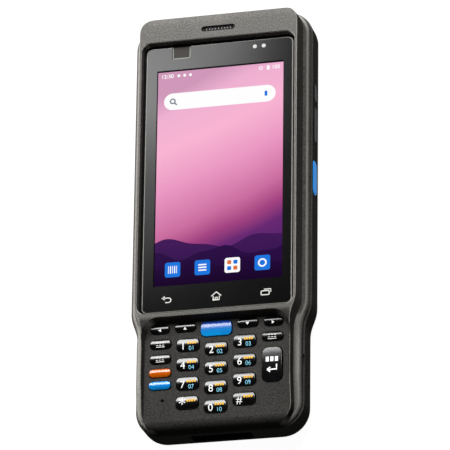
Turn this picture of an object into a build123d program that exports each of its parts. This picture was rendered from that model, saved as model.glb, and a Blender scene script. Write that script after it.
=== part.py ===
"""Portable barcode data terminal: touch display above, key pad below, scanner in the top end.

Millimetres. The terminal lies on its back: +Z points out of the display, +Y towards the
scanner end and +X to the right of the display. The origin is at the centre of the back.
Each function below makes one sub-part, or a group of identical ones, where it sits.
"""
from build123d import *
import os

# ---------------------------------------------------------------- display
DISPLAY_WIDTH = 52.4
DISPLAY_LENGTH = 95.0
DISPLAY_THICKNESS = 2.3
DISPLAY_GAP = 0.3
DISPLAY_CORNER = 0.6
GLASS_SIDE = 2.75
GLASS_LOWER = 6.8
GLASS_UPPER = 7.0
WINDOW_THICKNESS = 1.1
WINDOW_CORNER = 2.2
WINDOW_BEVEL = 0.35
WINDOW_RECESS = 2.8
WINDOW_GAP = 1.2
POCKET_CORNER = 3.6
POCKET_EDGE = 0.3
OPENING_CORNER = 0.8
GASKET_GAP = 0.1
GASKET_DROP = 0.6
NOTCH_X = -15.15
NOTCH_WIDTH = 7.2
NOTCH_DEPTH = 5.1
LAMP_X = 15.65
LAMP_PITCH = 3.5
LAMP_DROP = 2.85
LAMP_RADIUS = 0.8
LAMP_GAP = 0.05
SENSOR_GAP = 0.15
SENSOR_DROP = 0.35
SENSOR_CORNER = 0.5

# ---------------------------------------------------------------- body
THICKNESS = 25.0
FRONT_HEIGHT = 10.2
HEAD_BORDER = 6.05
TOP_BEZEL = 13.5
MIDDLE_BAND = 4.2
WAIST_INSET = 2.6
WAIST_LENGTH = 7.2
WAIST_RISE = 1.6
WAIST_RADIUS = 14.0
HEAD_CORNER = 10.5
GRIP_CORNER = 10.5
WALL = 2.0
SEAL_GAP = 0.3
SEAL_INSET = 0.5
SEAL_REACH = 0.2
BACK_EDGE = 6.5
LEDGE_EDGE = 0.4

# ---------------------------------------------------------------- front housing
FRONT_INSET = 0.6
SHOULDER_HEAD_HEIGHT = 2.2
SHOULDER_GRIP_HEIGHT = 3.9
SHOULDER_EDGE = 2.0
SHOULDER_RADIUS = 20.0
SHOULDER_RISE_START = 6.0
SHOULDER_RISE_END = 7.0
SHOULDER_FALL = 11.0
RIM_WALL_INSET = 2.5
RIM_DRAFT = 4.0
RIM_EDGE = 0.5
RIM_GRIP_DROP = 2.0
RIM_STEP_RISE = 0.5
RIM_STEP_LENGTH = 7.0
RIM_STEP_RADIUS = 14.0
RIM_SLOPE_LENGTH = 18.5
RIM_SLOPE_RADIUS = 60.0
RIM_END_DROP = 0.4
RIM_END_SLANT = 0.3
TOP_ROLL = 5.0
BOTTOM_ROLL = 4.0
BEZEL_PANEL = 2.0

# ---------------------------------------------------------------- key pad
PLATE_DROP = 4.1
PLATE_THICKNESS = 1.6
PLATE_BORDER = 4.65
PLATE_CORNER = 6.0
PLATE_WALL_DRAFT = 20.0
KEY_HEIGHT = 0.85
KEY_CROWN = 0.5
KEY_EDGE = 0.25
KEY_GAP = 0.25
KEY_TRAVEL = 0.5
KEY_FLANGE = 0.35
KEY_FLANGE_THICKNESS = 0.7
FLANGE_GAP = 0.1
PAD_EDGE = 2.25
PAD_END = 5.95
COLUMN_SPACE = 2.3
ROW_PITCH = 7.6
FIRST_ROW_DROP = 9.1
CENTRE_DROP = 2.15
NUMBER_HEIGHT = 5.0
NUMBER_CORNER = 1.8
SIDE_WIDTH = 8.0
SIDE_HEIGHT = 3.6
SIDE_CORNER = 1.7
COLOUR_EXTRA = 0.4
COLOUR_HEIGHT = 3.3
COLOUR_CORNER = 1.6
SIDE_DROPS = {"key_clear": -1.0, "key_tab": 4.9, "key_orange": 10.4, "key_blue": 15.3}
TOP_HEIGHT = 3.5
OUTER_SHIFT = 0.35
OUTER_DROP = 2.2
OUTER_NARROWING = 0.8
INNER_SHIFT = 1.1
INNER_DROP = 2.05
INNER_NARROWING = 0.7
SCAN_EXTRA = 3.3
SCAN_HEIGHT = 5.8
SCAN_CORNER = 1.9
SCAN_DROP = 3.4
ENTER_NARROWING = 0.3
ENTER_LENGTH = 13.6
ENTER_CORNER = 2.4
ENTER_DROP = 10.1
MAT_THICKNESS = 0.8
MAT_MARGIN = 1.6
MAT_CORNER = 10.0
MAT_END_MARGIN = 0.8
MAT_RISE = 0.5
DOME_HEIGHT = 0.4
DOME_GAP = 0.05
DOME_RADIUS = 1.5
KEY_BOARD_THICKNESS = 1.2
KEY_BOARD_INSET = 5.6
KEY_BOARD_MARGIN = 0.9
KEY_BOARD_RISE = 1.2
KEY_BOARD_CORNER = 10.5
POST_RADIUS = 0.55
POST_GAP = 0.15
POST_ROWS = (0.4, 1.5, 3.0)
MICROPHONE_DROP = 21.2
MICROPHONE_SHIFT = 1.0
MICROPHONE_RADIUS = 2.0
MICROPHONE_GAP = 0.2
MICROPHONE_HOLE = 0.65

# ---------------------------------------------------------------- earpiece
EARPIECE_RISE = 5.2
EARPIECE_SLOT = (13.4, 2.2)
EARPIECE_BARS = 8
EARPIECE_SIZE = (15.0, 5.4, 2.6)
EARPIECE_CORNER = 2.4
EARPIECE_ROOM = (44.0, 7.2, 2.0)
GRILLE_THICKNESS = 1.2
GRILLE_GAP = 0.1
GRILLE_HOLE = (1.1, 0.6)

# ---------------------------------------------------------------- side keys
SIDE_KEY_PROUD = 0.3
SIDE_TRAVEL = 0.5
SIDE_GAP = 0.2
SIDE_KEY_DROP = 3.7
SIDE_KEY_HEIGHT = 4.2
SIDE_KEY_ROUNDNESS = 0.385
SIDE_FLANGE = 0.6
SIDE_FLANGE_THICKNESS = 0.9
SIDE_EDGE = 0.5
TRIGGER_PLACE = 68.3
TRIGGER_LENGTH = 13.4
TRIGGER_HEIGHT = 5.4
POWER_PLACE = 33.2
POWER_LENGTH = 7.0
VOLUME_PLACE = 46.4
VOLUME_LENGTH = 14.4
ROCKER_GAP = 0.25
ROCKER_ROOM = 0.1
ROCKER_PIN_LENGTH = 0.8
ROCKER_PIN_GAP = 0.08
ROCKER_EAR = 1.3
ROCKER_EAR_GAP = 0.2
SWITCH_SIZE = (1.5, 4.0, 3.0)
SWITCH_GAP = 0.1
SWITCH_BODY = 0.6
PLUNGER_SIZE = (1.6, 1.2)
SIDE_BOARD_THICKNESS = 0.8
SIDE_BOARD_HEIGHT = 7.0
SIDE_BOARD_MARGIN = 4.0
SIDE_RIB_RISE = 1.0
SIDE_RIB_THICKNESS = 1.2
STRAP_SLOT_PLACE = 26.0
STRAP_SLOT = (5.4, 1.0, 1.6)
STRAP_SLOT_INSET = 0.7

# ---------------------------------------------------------------- boards and inner parts
FRAME_THICKNESS = 1.4
FRAME_RIM = 1.6
FRAME_CORNER = 2.0
FRAME_OPENING_CORNER = 3.0
FRAME_WEB = 7.0
FRAME_BORDER = (5.2, 14.3)
BOARD_DROP = 6.0
BOARD_THICKNESS = 1.2
BOARD_MARGIN = 8.0
BOARD_GAP = 1.9
BOARD_TOP_GAP = 6.0
BOARD_END_GAP = 7.0
BOARD_CORNER = 2.0
SHIELD_HEIGHT = 1.9
SHIELD_CORNER = 0.8
SHIELD_MARGIN = 4.0
SHIELD_SPLIT = 1.0
SHIELD_SPACE = 4.0
SHIELD_PLACE = 28.5
SHIELD_LENGTHS = (24.0, 32.0)
LOWER_SHIELD_MARGIN = 10.0
LOWER_SHIELD_RISE = 19.0
LOWER_SHIELD_LENGTH = 30.0
STANDOFF_RADIUS = 2.0
STANDOFF_INSET = 3.6
STANDOFF_PLACE = 27.8
UPPER_STANDOFF_SIDE = 11.0
UPPER_STANDOFF_PLACE = 34.5
SCANNER_SIZE = (22.0, 14.0)
SCANNER_GAP = 1.8
SCAN_WINDOW_SIZE = (27.0, 1.4, 7.4)
SCAN_WINDOW_DROP = 5.8
SCAN_WINDOW_SET_BACK = 0.8
SCAN_WINDOW_GAP = 0.1
SCAN_WINDOW_LIP = (1.5, 1.2)
SCAN_VIEW_DEPTH = 6.0
SCAN_LENSES = ((-5.5, 2.6), (1.5, 1.6), (6.5, 2.0))
SCAN_LENS_DROP = 0.8
SCAN_LENS_DEPTH = 0.8
SCANNER_SET_BACK = 6.5
CAMERA_PLACE = 26.5
CAMERA_SIZE = (9.0, 9.0, 4.6)
CAMERA_WINDOW_RADIUS = 4.4
FLASH_X = 9.6
FLASH_RADIUS = 2.2
REAR_GLASS_THICKNESS = 0.8
REAR_GLASS_SET_BACK = 0.2
REAR_GLASS_GAP = 0.1
REAR_GLASS_LIP = 0.7
CAMERA_BARREL_INSET = 1.0
CAMERA_BARREL_GAP = 0.2
SPEAKER_PLACE = 48.5
SPEAKER_X = 17.0
SPEAKER_SIZE = (18.0, 12.0, 4.0)
SPEAKER_CORNER = 2.0
SPEAKER_SLOTS = 5
SPEAKER_SLOT_PITCH = 2.2
SPEAKER_SLOT = (11.0, 1.1)
MOTOR_RADIUS = 5.0
MOTOR_THICKNESS = 3.0

# ---------------------------------------------------------------- battery
BATTERY_SIDE = 9.1
BATTERY_PLACE = 78.7
BATTERY_CORNER = 2.0
BATTERY_RISE = 0.4
BATTERY_EDGE = 1.0
BAY_GAP = 0.3
BAY_WALL = 1.4
COVER_SIDE = 1.5
COVER_REACH = 3.2
COVER_THICKNESS = 1.8
COVER_GAP = 0.2
COVER_ROOM = 0.15
BARREL_RADIUS = 1.6
BARREL_PLACE = 9.1
BARREL_GAP = 0.15
TRUNNION_RADIUS = 0.7
TRUNNION_LENGTH = 1.3
TRUNNION_GAP = 0.08
TRUNNION_END_GAP = 0.2
TRUNNION_BLOCK = 4.0
COVER_RIBS = 6
COVER_RIB_PITCH = 3.0
COVER_RIB_PLACE = 8.0
COVER_RIB = (22.0, 1.2, 0.8)
CATCH_HALF_WIDTH = 4.6
CATCH_THICKNESS = 1.0
CATCH_SEAT = 2.9
CATCH_REACH = 1.9
CATCH_GAP = 0.3
CATCH_SIDE_GAP = 0.4
CATCH_ROOF = 1.8
LATCH_TRAVEL = 2.0
LATCH_HALF_WIDTH = 7.4
LATCH_LENGTH = 6.2
LATCH_THICKNESS = 1.4
LATCH_SET_BACK = 0.3
LATCH_GAP = 0.2
BOLT_GAP = 0.35
BOLT_THICKNESS = 0.8
LATCH_RAIL = 1.1
LATCH_LIP = 0.6
RAIL_PLACE = 1.0
LATCH_ROOM = 0.1
LATCH_BLOCK = 4.5
LATCH_GRIPS = 3
LATCH_GRIP_PITCH = 1.5
LATCH_GRIP = (9.0, 0.7, 0.8)
CONTACT_PITCH = 4.0
CONTACT_COUNT = 5
CONTACT_SIZE = (1.4, 2.6)
CONTACT_PLACE = 7.1
CONTACT_GAP = 0.2

# ---------------------------------------------------------------- interface port
PORT_WIDTH = 22.8
PORT_HEIGHT = 6.4
PORT_THICKNESS = 1.5
PORT_GAP = 0.2
PORT_BARREL_RADIUS = 0.75
PORT_PIN_RADIUS = 0.4
PORT_PIN_LENGTH = 0.9
PORT_PIN_GAP = 0.06
PORT_DROP = 8.0
PORT_SET_BACK = 0.1
PORT_ROOM = 0.1
PORT_BLOCK = 1.2
PORT_LIFT_NOTCH = (8.0, 1.2, 1.4)
SOCKET_OPENING = (16.0, 3.2)
SOCKET_RISE = 3.6
SOCKET_DEPTH = 6.2
SOCKET_SHELL = 0.8
SOCKET_SET_BACK = 2.0
SOCKET_BACK_WALL = 1.2
SOCKET_MOUTH_GAP = 0.4
TONGUE_INSET = 1.6
TONGUE_SET_BACK = 1.5
TONGUE_THICKNESS = 0.8
PLUG_PAD_DEPTH = 0.8
PLUG_PAD_GAP = 0.1

# ---------------------------------------------------------------- housing screws
SCREW_HEAD_RADIUS = 1.9
SCREW_HEAD_HEIGHT = 1.5
SCREW_HEAD_GAP = 0.3
SCREW_HEAD_EDGE = 0.5
SCREW_CROSS = (2.2, 0.5, 1.6)
SCREW_SHANK_RADIUS = 0.9
SCREW_SEAT_Z = 3.2
SCREW_TIP_GAP = 2.1
SCREW_SIDE = 9.0
SCREW_END_SIDE = 13.9
SCREW_END_PLACE = 4.8
SCREW_TOP_PLACES = (11.5, 60.5)
BOSS_RADIUS = 2.7
FRONT_BOSS_RADIUS = 2.4
BOSS_GAP = 0.3
THREAD_ROOM = 0.3
ROOT = 0.2
CLEARANCE_HOLE = 0.15
THREAD_HOLE = 0.05

# ---------------------------------------------------------------- worked out: plan
WINDOW_WIDTH = DISPLAY_WIDTH + 2 * GLASS_SIDE
WINDOW_LENGTH = DISPLAY_LENGTH + GLASS_LOWER + GLASS_UPPER
HEAD_WIDTH = WINDOW_WIDTH + 2 * HEAD_BORDER
GRIP_WIDTH = HEAD_WIDTH - 2 * WAIST_INSET
PAD_LENGTH = FIRST_ROW_DROP + 3 * ROW_PITCH + CENTRE_DROP + NUMBER_HEIGHT / 2 + PAD_END
LENGTH = PAD_LENGTH + MIDDLE_BAND + WINDOW_LENGTH + TOP_BEZEL
TOP_Y = LENGTH / 2
BOTTOM_Y = -LENGTH / 2
PLATE_TOP_Y = BOTTOM_Y + PAD_LENGTH
WINDOW_TOP_Y = TOP_Y - TOP_BEZEL
WINDOW_CENTRE_Y = WINDOW_TOP_Y - WINDOW_LENGTH / 2
DISPLAY_CENTRE_Y = WINDOW_TOP_Y - GLASS_UPPER - DISPLAY_LENGTH / 2
WAIST_TOP_Y = PLATE_TOP_Y + WAIST_RISE + WAIST_LENGTH / 2
WAIST_BOTTOM_Y = WAIST_TOP_Y - WAIST_LENGTH
RIM_STEP_Y = PLATE_TOP_Y + RIM_STEP_RISE
RIM_SLOPE_Y = BOTTOM_Y + RIM_SLOPE_LENGTH
LAMP_Y = WINDOW_TOP_Y - LAMP_DROP
EARPIECE_Y = WINDOW_TOP_Y + EARPIECE_RISE
TRIGGER_Y = TOP_Y - TRIGGER_PLACE
POWER_Y = TOP_Y - POWER_PLACE
VOLUME_Y = TOP_Y - VOLUME_PLACE
STRAP_SLOT_Y = BOTTOM_Y + STRAP_SLOT_PLACE
CAMERA_Y = TOP_Y - CAMERA_PLACE
SPEAKER_Y = TOP_Y - SPEAKER_PLACE
SIDE_FACE_X = HEAD_WIDTH / 2
BOARD_HALF_WIDTH = SIDE_FACE_X - BOARD_MARGIN
SIDE_INNER_X = SIDE_FACE_X - WALL
FLANGE_INNER_X = SIDE_INNER_X - FLANGE_GAP - SIDE_FLANGE_THICKNESS
ROCKER_AXIS = (FLANGE_INNER_X - ROCKER_GAP + SIDE_FLANGE_THICKNESS / 2, VOLUME_Y)
SWITCH_FACE_X = FLANGE_INNER_X - SIDE_TRAVEL - SWITCH_GAP
SIDE_BOARD_X = SWITCH_FACE_X - SWITCH_SIZE[0]
SCREWS = [
    (side * x, y)
    for x, y in (
        (SIDE_FACE_X - SCREW_SIDE, TOP_Y - SCREW_TOP_PLACES[0]),
        (SIDE_FACE_X - SCREW_SIDE, TOP_Y - SCREW_TOP_PLACES[1]),
        (GRIP_WIDTH / 2 - SCREW_END_SIDE, BOTTOM_Y + SCREW_END_PLACE),
    )
    for side in (-1, 1)
]

FRAME_OPENING = (
    (DISPLAY_WIDTH - FRAME_WEB) / 2 - FRAME_BORDER[0],
    (DISPLAY_LENGTH - FRAME_WEB) / 2 - FRAME_BORDER[1],
)

# ---------------------------------------------------------------- worked out: key pad
PLATE_HALF_WIDTH = GRIP_WIDTH / 2 - PLATE_BORDER
SIDE_COLUMN_X = PLATE_HALF_WIDTH - PAD_EDGE - SIDE_WIDTH / 2
NUMBER_WIDTH = (SIDE_COLUMN_X - SIDE_WIDTH / 2 - 2 * COLUMN_SPACE) / 1.5
COLUMN_PITCH = NUMBER_WIDTH + COLUMN_SPACE
POST_X = SIDE_COLUMN_X - SIDE_WIDTH / 2 - COLUMN_SPACE / 2
FIRST_ROW_Y = PLATE_TOP_Y - FIRST_ROW_DROP
MICROPHONE_PLACE = (MICROPHONE_SHIFT - SIDE_COLUMN_X, FIRST_ROW_Y - MICROPHONE_DROP)

# ---------------------------------------------------------------- worked out: heights
RIM_Z = THICKNESS
PARTING_Z = THICKNESS - FRONT_HEIGHT
FRONT_Z = PARTING_Z + SEAL_GAP
SHOULDER_HEAD_Z = FRONT_Z + SHOULDER_HEAD_HEIGHT
SHOULDER_GRIP_Z = FRONT_Z + SHOULDER_GRIP_HEIGHT
RIM_GRIP_Z = RIM_Z - RIM_GRIP_DROP
WINDOW_TOP_Z = RIM_Z - WINDOW_RECESS
WINDOW_SEAT_Z = WINDOW_TOP_Z - WINDOW_THICKNESS
DISPLAY_BACK_Z = WINDOW_SEAT_Z - DISPLAY_THICKNESS
PLATE_Z = RIM_Z - PLATE_DROP
CEILING_Z = PLATE_Z - PLATE_THICKNESS
KEY_TOP_Z = PLATE_Z + KEY_HEIGHT
FLANGE_TOP_Z = CEILING_Z - FLANGE_GAP
KEY_BASE_Z = FLANGE_TOP_Z - KEY_FLANGE_THICKNESS
DOME_TOP_Z = KEY_BASE_Z - KEY_TRAVEL - DOME_GAP
MAT_TOP_Z = DOME_TOP_Z - DOME_HEIGHT
MAT_Z = MAT_TOP_Z - MAT_THICKNESS
KEY_BOARD_Z = MAT_Z - KEY_BOARD_THICKNESS
BOARD_Z = DISPLAY_BACK_Z - BOARD_DROP
SIDE_KEY_Z = PARTING_Z - SIDE_KEY_DROP
SCAN_WINDOW_Z = PARTING_Z - SCAN_WINDOW_DROP
SCREW_LENGTH = CEILING_Z - SCREW_TIP_GAP - SCREW_SEAT_Z

# ---------------------------------------------------------------- worked out: battery and port
BAY_ROOF_Z = BOARD_Z - BOARD_GAP - BAY_WALL
BATTERY_HEIGHT = BAY_ROOF_Z - BAY_GAP - BATTERY_RISE - COVER_THICKNESS
BATTERY_WIDTH = GRIP_WIDTH - 2 * BATTERY_SIDE
BATTERY_TOP_Y = TOP_Y - BATTERY_PLACE
BARREL_Y = BOTTOM_Y + BARREL_PLACE
BATTERY_LENGTH = BATTERY_TOP_Y - BARREL_Y - COVER_REACH
BAY_BOTTOM_Y = BATTERY_TOP_Y - BATTERY_LENGTH - BAY_GAP
BAY_HALF_WIDTH = BATTERY_WIDTH / 2 + BAY_GAP
COVER_HALF_WIDTH = BATTERY_WIDTH / 2 + COVER_SIDE
COVER_TOP_Y = BATTERY_TOP_Y + COVER_REACH
CATCH_TIP_Y = COVER_TOP_Y + CATCH_REACH
BOLT_TIP_Y = CATCH_TIP_Y + BOLT_GAP
LATCH_Y = BOLT_TIP_Y + LATCH_TRAVEL
CONTACT_Y = BATTERY_TOP_Y - CONTACT_PLACE
PORT_BASE_Z = PARTING_Z - PORT_DROP
PORT_FACE_Y = BOTTOM_Y + PORT_SET_BACK
PORT_BACK_Y = PORT_FACE_Y + PORT_THICKNESS
PORT_AXIS = (PORT_FACE_Y + PORT_BARREL_RADIUS, PORT_BASE_Z + PORT_BARREL_RADIUS)
SOCKET_Z = PORT_BASE_Z + SOCKET_RISE
SOCKET_FACE_Y = PORT_BACK_Y + SOCKET_SET_BACK


def key_layout():
    """Name, centre and size (width, height, corner radius) of every key cap."""
    number = (NUMBER_WIDTH, NUMBER_HEIGHT, NUMBER_CORNER)
    oval = (SIDE_WIDTH, SIDE_HEIGHT, SIDE_CORNER)
    colour = (SIDE_WIDTH + COLOUR_EXTRA, COLOUR_HEIGHT, COLOUR_CORNER)
    outer = (SIDE_WIDTH - OUTER_NARROWING, TOP_HEIGHT, SIDE_CORNER)
    inner = (NUMBER_WIDTH - INNER_NARROWING, TOP_HEIGHT, SIDE_CORNER)
    scan = (NUMBER_WIDTH + SCAN_EXTRA, SCAN_HEIGHT, SCAN_CORNER)
    enter = (SIDE_WIDTH - ENTER_NARROWING, ENTER_LENGTH, ENTER_CORNER)
    keys = []
    for row in range(4):
        y = FIRST_ROW_Y - row * ROW_PITCH
        names = ("key_star", "key_0", "key_hash")
        if row < 3:
            names = tuple(f"key_{3 * row + column}" for column in (1, 2, 3))
        keys.append((names[0], -COLUMN_PITCH, y, number))
        keys.append((names[1], 0.0, y - CENTRE_DROP, number))
        keys.append((names[2], COLUMN_PITCH, y, number))
    for side, name in ((-1, "left"), (1, "right")):
        x = side * (SIDE_COLUMN_X + OUTER_SHIFT)
        keys.append((f"key_{name}_outer", x, PLATE_TOP_Y - OUTER_DROP, outer))
        x = side * (COLUMN_PITCH + INNER_SHIFT)
        keys.append((f"key_{name}_inner", x, PLATE_TOP_Y - INNER_DROP, inner))
    keys.append(("key_scan", 0.0, PLATE_TOP_Y - SCAN_DROP, scan))
    for name, drop in SIDE_DROPS.items():
        size = colour if name in ("key_orange", "key_blue") else oval
        keys.append((name, -SIDE_COLUMN_X, FIRST_ROW_Y - drop, size))
    keys.append(("key_back", SIDE_COLUMN_X, FIRST_ROW_Y - SIDE_DROPS["key_clear"], oval))
    keys.append(("key_enter", SIDE_COLUMN_X, FIRST_ROW_Y - ENTER_DROP, enter))
    return keys


# ---------------------------------------------------------------- helpers
def block(x0, x1, y0, y1, z0, z1):
    """Plain box between two corners."""
    centre = ((x0 + x1) / 2, (y0 + y1) / 2, (z0 + z1) / 2)
    return Pos(*centre) * Box(x1 - x0, y1 - y0, z1 - z0)


def rounded_block(x, y, width, height, radius, z0, z1, draft=0.0):
    """Upright block with rounded corners, centred on (x, y)."""
    face = Pos(x, y, z0) * RectangleRounded(width, height, radius)
    return extrude(face, z1 - z0, dir=(0, 0, 1), taper=draft)


def slot_block(x, y, length, width, z0, z1):
    """Upright block along X with round ends."""
    return extrude(Pos(x, y, z0) * SlotOverall(length, width), z1 - z0, dir=(0, 0, 1))


def pillar(x, y, radius, z0, z1):
    """Upright round bar."""
    return Pos(x, y, (z0 + z1) / 2) * Cylinder(radius, z1 - z0)


def bar_along_x(x0, x1, y, z, radius):
    """Round bar lying along X."""
    return Pos((x0 + x1) / 2, y, z) * Rot(0, 90, 0) * Cylinder(radius, x1 - x0)


def body_face(inset=0.0, narrowing=0.0):
    """Plan of the terminal: broad head, soft waist and narrower grip.

    The inset moves the whole outline inwards, and the narrowing its long sides alone.
    """
    head = HEAD_WIDTH / 2 - narrowing
    grip = GRIP_WIDTH / 2 - narrowing
    right = [(grip, BOTTOM_Y), (grip, WAIST_BOTTOM_Y), (head, WAIST_TOP_Y), (head, TOP_Y)]
    radii = [GRIP_CORNER - narrowing, WAIST_RADIUS, WAIST_RADIUS, HEAD_CORNER - narrowing]
    points = right + [(-x, y) for x, y in reversed(right)]
    face = make_face(FilletPolyline(*points, radius=radii + radii[::-1], close=True))
    if inset:
        face = offset(face, -inset)
    return face


def raise_face(face, z0, z1, draft=0.0):
    """Extrudes a plan upwards from z0 to z1."""
    return extrude(Pos(0, 0, z0) * face, z1 - z0, dir=(0, 0, 1), taper=draft)


def side_prism(points, radii):
    """Bar across the whole body, below a side profile of (y, z) points."""
    far = LENGTH
    outline = [(far, 0.0)] + [(far, points[0][1])] + points + [(-far, points[-1][1]), (-far, 0.0)]
    path = FilletPolyline(*outline, radius=[0, 0] + radii + [0, 0], close=True)
    return extrude(Plane.YZ * make_face(path), HEAD_WIDTH, both=True)


def upper_edges(solid, lowest):
    """Edges round the upward faces of a solid, above a height."""
    seen = {}
    for face in solid.faces():
        if face.normal_at().Z > 0.2 and face.center().Z > lowest:
            for edge in face.edges():
                middle = edge.center()
                key = (round(middle.X, 3), round(middle.Y, 3), round(middle.Z, 3))
                seen.setdefault(key, []).append(edge)
    return [edges[0] for edges in seen.values() if len(edges) == 1]


def edges_at(solid, axis, value):
    """Edges of a solid that lie wholly at one level of an axis."""
    return solid.edges().filter_by_position(axis, value - 0.001, value + 0.001)


# ---------------------------------------------------------------- front housing
def rim_prism(drop=0.0):
    """Side profile of the front: top roll, display rim, step, slope and bottom roll."""
    step_end = RIM_STEP_Y - RIM_STEP_LENGTH
    points = [
        (TOP_Y - FRONT_INSET, PARTING_Z),
        (TOP_Y - FRONT_INSET - RIM_END_SLANT, RIM_Z - drop),
        (RIM_STEP_Y, RIM_Z - drop),
        (step_end, RIM_GRIP_Z - drop),
        (RIM_SLOPE_Y, RIM_GRIP_Z - drop),
        (BOTTOM_Y + FRONT_INSET + RIM_END_SLANT, PLATE_Z - RIM_END_DROP - drop),
        (BOTTOM_Y + FRONT_INSET, PARTING_Z),
    ]
    radii = [0, TOP_ROLL, RIM_STEP_RADIUS, RIM_STEP_RADIUS, RIM_SLOPE_RADIUS, BOTTOM_ROLL, 0]
    return side_prism(points, radii)


def shoulder():
    """Lower part of the front housing, whose rounded shoulder runs all round."""
    ring = raise_face(body_face(FRONT_INSET), FRONT_Z, SHOULDER_GRIP_Z + 1.0)
    points = [
        (PLATE_TOP_Y + SHOULDER_RISE_START, SHOULDER_HEAD_Z),
        (PLATE_TOP_Y - SHOULDER_RISE_END, SHOULDER_GRIP_Z),
        (RIM_SLOPE_Y, SHOULDER_GRIP_Z),
        (RIM_SLOPE_Y - SHOULDER_FALL, SHOULDER_HEAD_Z),
    ]
    ring = ring & side_prism(points, [SHOULDER_RADIUS] * 4)
    return fillet(upper_edges(ring, FRONT_Z + 1.0), SHOULDER_EDGE) & rim_prism()


def rim_block():
    """Raised part of the front housing, with drafted side walls and a fine rounded rim."""
    plan = body_face(FRONT_INSET, RIM_WALL_INSET)
    block_ = raise_face(plan, FRONT_Z, RIM_Z + 1.0, RIM_DRAFT)
    block_ = block_ & rim_prism()
    return fillet(upper_edges(block_, FRONT_Z + 0.5), RIM_EDGE)


def front_cavity():
    """Space inside the front housing, below the window ledge and the key plate."""
    room = raise_face(body_face(FRONT_INSET + RIM_WALL_INSET + WALL), FRONT_Z, CEILING_Z)
    room = room & rim_prism(PLATE_THICKNESS)
    return room + rounded_block(0, EARPIECE_Y, *EARPIECE_ROOM, CEILING_Z - ROOT, RIM_Z - BEZEL_PANEL)


def key_openings():
    """One opening in the plate for each key cap."""
    holes = []
    for _, x, y, (width, height, radius) in key_layout():
        size = (width + 2 * KEY_GAP, height + 2 * KEY_GAP)
        holes.append(rounded_block(x, y, *size, radius + KEY_GAP, CEILING_Z - 1, PLATE_Z + 1))
    return holes


def front_housing():
    """Upper shell with display pocket, key plate, earpiece slot and screw bosses."""
    solid = shoulder() + rim_block()
    shell = solid - front_cavity()
    for x, y in SCREWS:
        shell += pillar(x, y, FRONT_BOSS_RADIUS, PARTING_Z, CEILING_Z + ROOT) & solid
    for side in (-1, 1):
        for row in POST_ROWS:
            y = FIRST_ROW_Y - row * ROW_PITCH
            shell += pillar(side * POST_X, y, POST_RADIUS, MAT_Z, CEILING_Z + ROOT)
    pocket = (WINDOW_WIDTH + 2 * WINDOW_GAP, WINDOW_LENGTH + 2 * WINDOW_GAP)
    shell -= rounded_block(0, WINDOW_CENTRE_Y, *pocket, POCKET_CORNER, WINDOW_SEAT_Z, RIM_Z + 1)
    lip_z = RIM_Z - POCKET_EDGE
    shell -= rounded_block(0, WINDOW_CENTRE_Y, *pocket, POCKET_CORNER, lip_z, RIM_Z + 0.1, -45.0)
    opening = (DISPLAY_WIDTH + 2 * DISPLAY_GAP, DISPLAY_LENGTH + 2 * DISPLAY_GAP)
    shell -= rounded_block(0, DISPLAY_CENTRE_Y, *opening, OPENING_CORNER, CEILING_Z - 1, WINDOW_SEAT_Z + 1)
    recess_length = PAD_LENGTH + 2 * PLATE_CORNER
    recess_y = PLATE_TOP_Y - recess_length / 2
    recess = (2 * PLATE_HALF_WIDTH, recess_length, PLATE_CORNER)
    shell -= rounded_block(0, recess_y, *recess, PLATE_Z, RIM_Z + 1, -PLATE_WALL_DRAFT)
    for hole in key_openings():
        shell -= hole
    shell -= pillar(*MICROPHONE_PLACE, MICROPHONE_HOLE, CEILING_Z - 1, PLATE_Z + 1)
    shell -= slot_block(0, EARPIECE_Y, *EARPIECE_SLOT, CEILING_Z, RIM_Z + 1)
    for x, y in SCREWS:
        top = SCREW_SEAT_Z + SCREW_LENGTH + THREAD_ROOM
        shell -= pillar(x, y, SCREW_SHANK_RADIUS + THREAD_HOLE, PARTING_Z - 1, top)
    return shell


# ---------------------------------------------------------------- rear housing
def battery_bay():
    """Space for the battery, its cover and the cover's barrel hinge."""
    room = block(-BAY_HALF_WIDTH, BAY_HALF_WIDTH, BAY_BOTTOM_Y, BATTERY_TOP_Y + BAY_GAP, -1, BAY_ROOF_Z)
    half = COVER_HALF_WIDTH + COVER_GAP
    room += block(-half, half, BARREL_Y, COVER_TOP_Y + COVER_GAP, -1, COVER_THICKNESS + COVER_ROOM)
    seat = BARREL_RADIUS + BARREL_GAP
    room += bar_along_x(-half, half, BARREL_Y, BARREL_RADIUS, seat)
    room += block(-half, half, BARREL_Y - seat, BARREL_Y, -1, BARREL_RADIUS)
    reach = half + TRUNNION_LENGTH
    room += bar_along_x(-reach, reach, BARREL_Y, BARREL_RADIUS, TRUNNION_RADIUS + TRUNNION_GAP)
    lip = CATCH_HALF_WIDTH + CATCH_SIDE_GAP
    top = COVER_THICKNESS + CATCH_THICKNESS + CATCH_GAP
    room += block(-lip, lip, BATTERY_TOP_Y, CATCH_TIP_Y + CATCH_GAP, -1, top)
    return room


def latch_slot():
    """Slot of the battery latch, with an undercut rail on each side."""
    half = LATCH_HALF_WIDTH + LATCH_GAP
    end_y = LATCH_Y + LATCH_LENGTH + LATCH_GAP
    depth = LATCH_SET_BACK + LATCH_THICKNESS + LATCH_ROOM
    slot = block(-half, half, COVER_TOP_Y, end_y, -1, depth)
    rail = half + LATCH_RAIL
    lip_z = LATCH_SET_BACK + LATCH_LIP - LATCH_ROOM
    slot += block(-rail, rail, COVER_TOP_Y + RAIL_PLACE, end_y, lip_z, depth)
    return slot


def side_key_hole(side, y, length, height, gap):
    """Opening in the side wall for one side key."""
    plan = RectangleRounded(length + 2 * gap, height + 2 * gap, height * SIDE_KEY_ROUNDNESS)
    hole = extrude(Plane.YZ * plan, 2 * WALL, both=True)
    return Pos(side * SIDE_FACE_X, y, SIDE_KEY_Z) * hole


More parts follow.
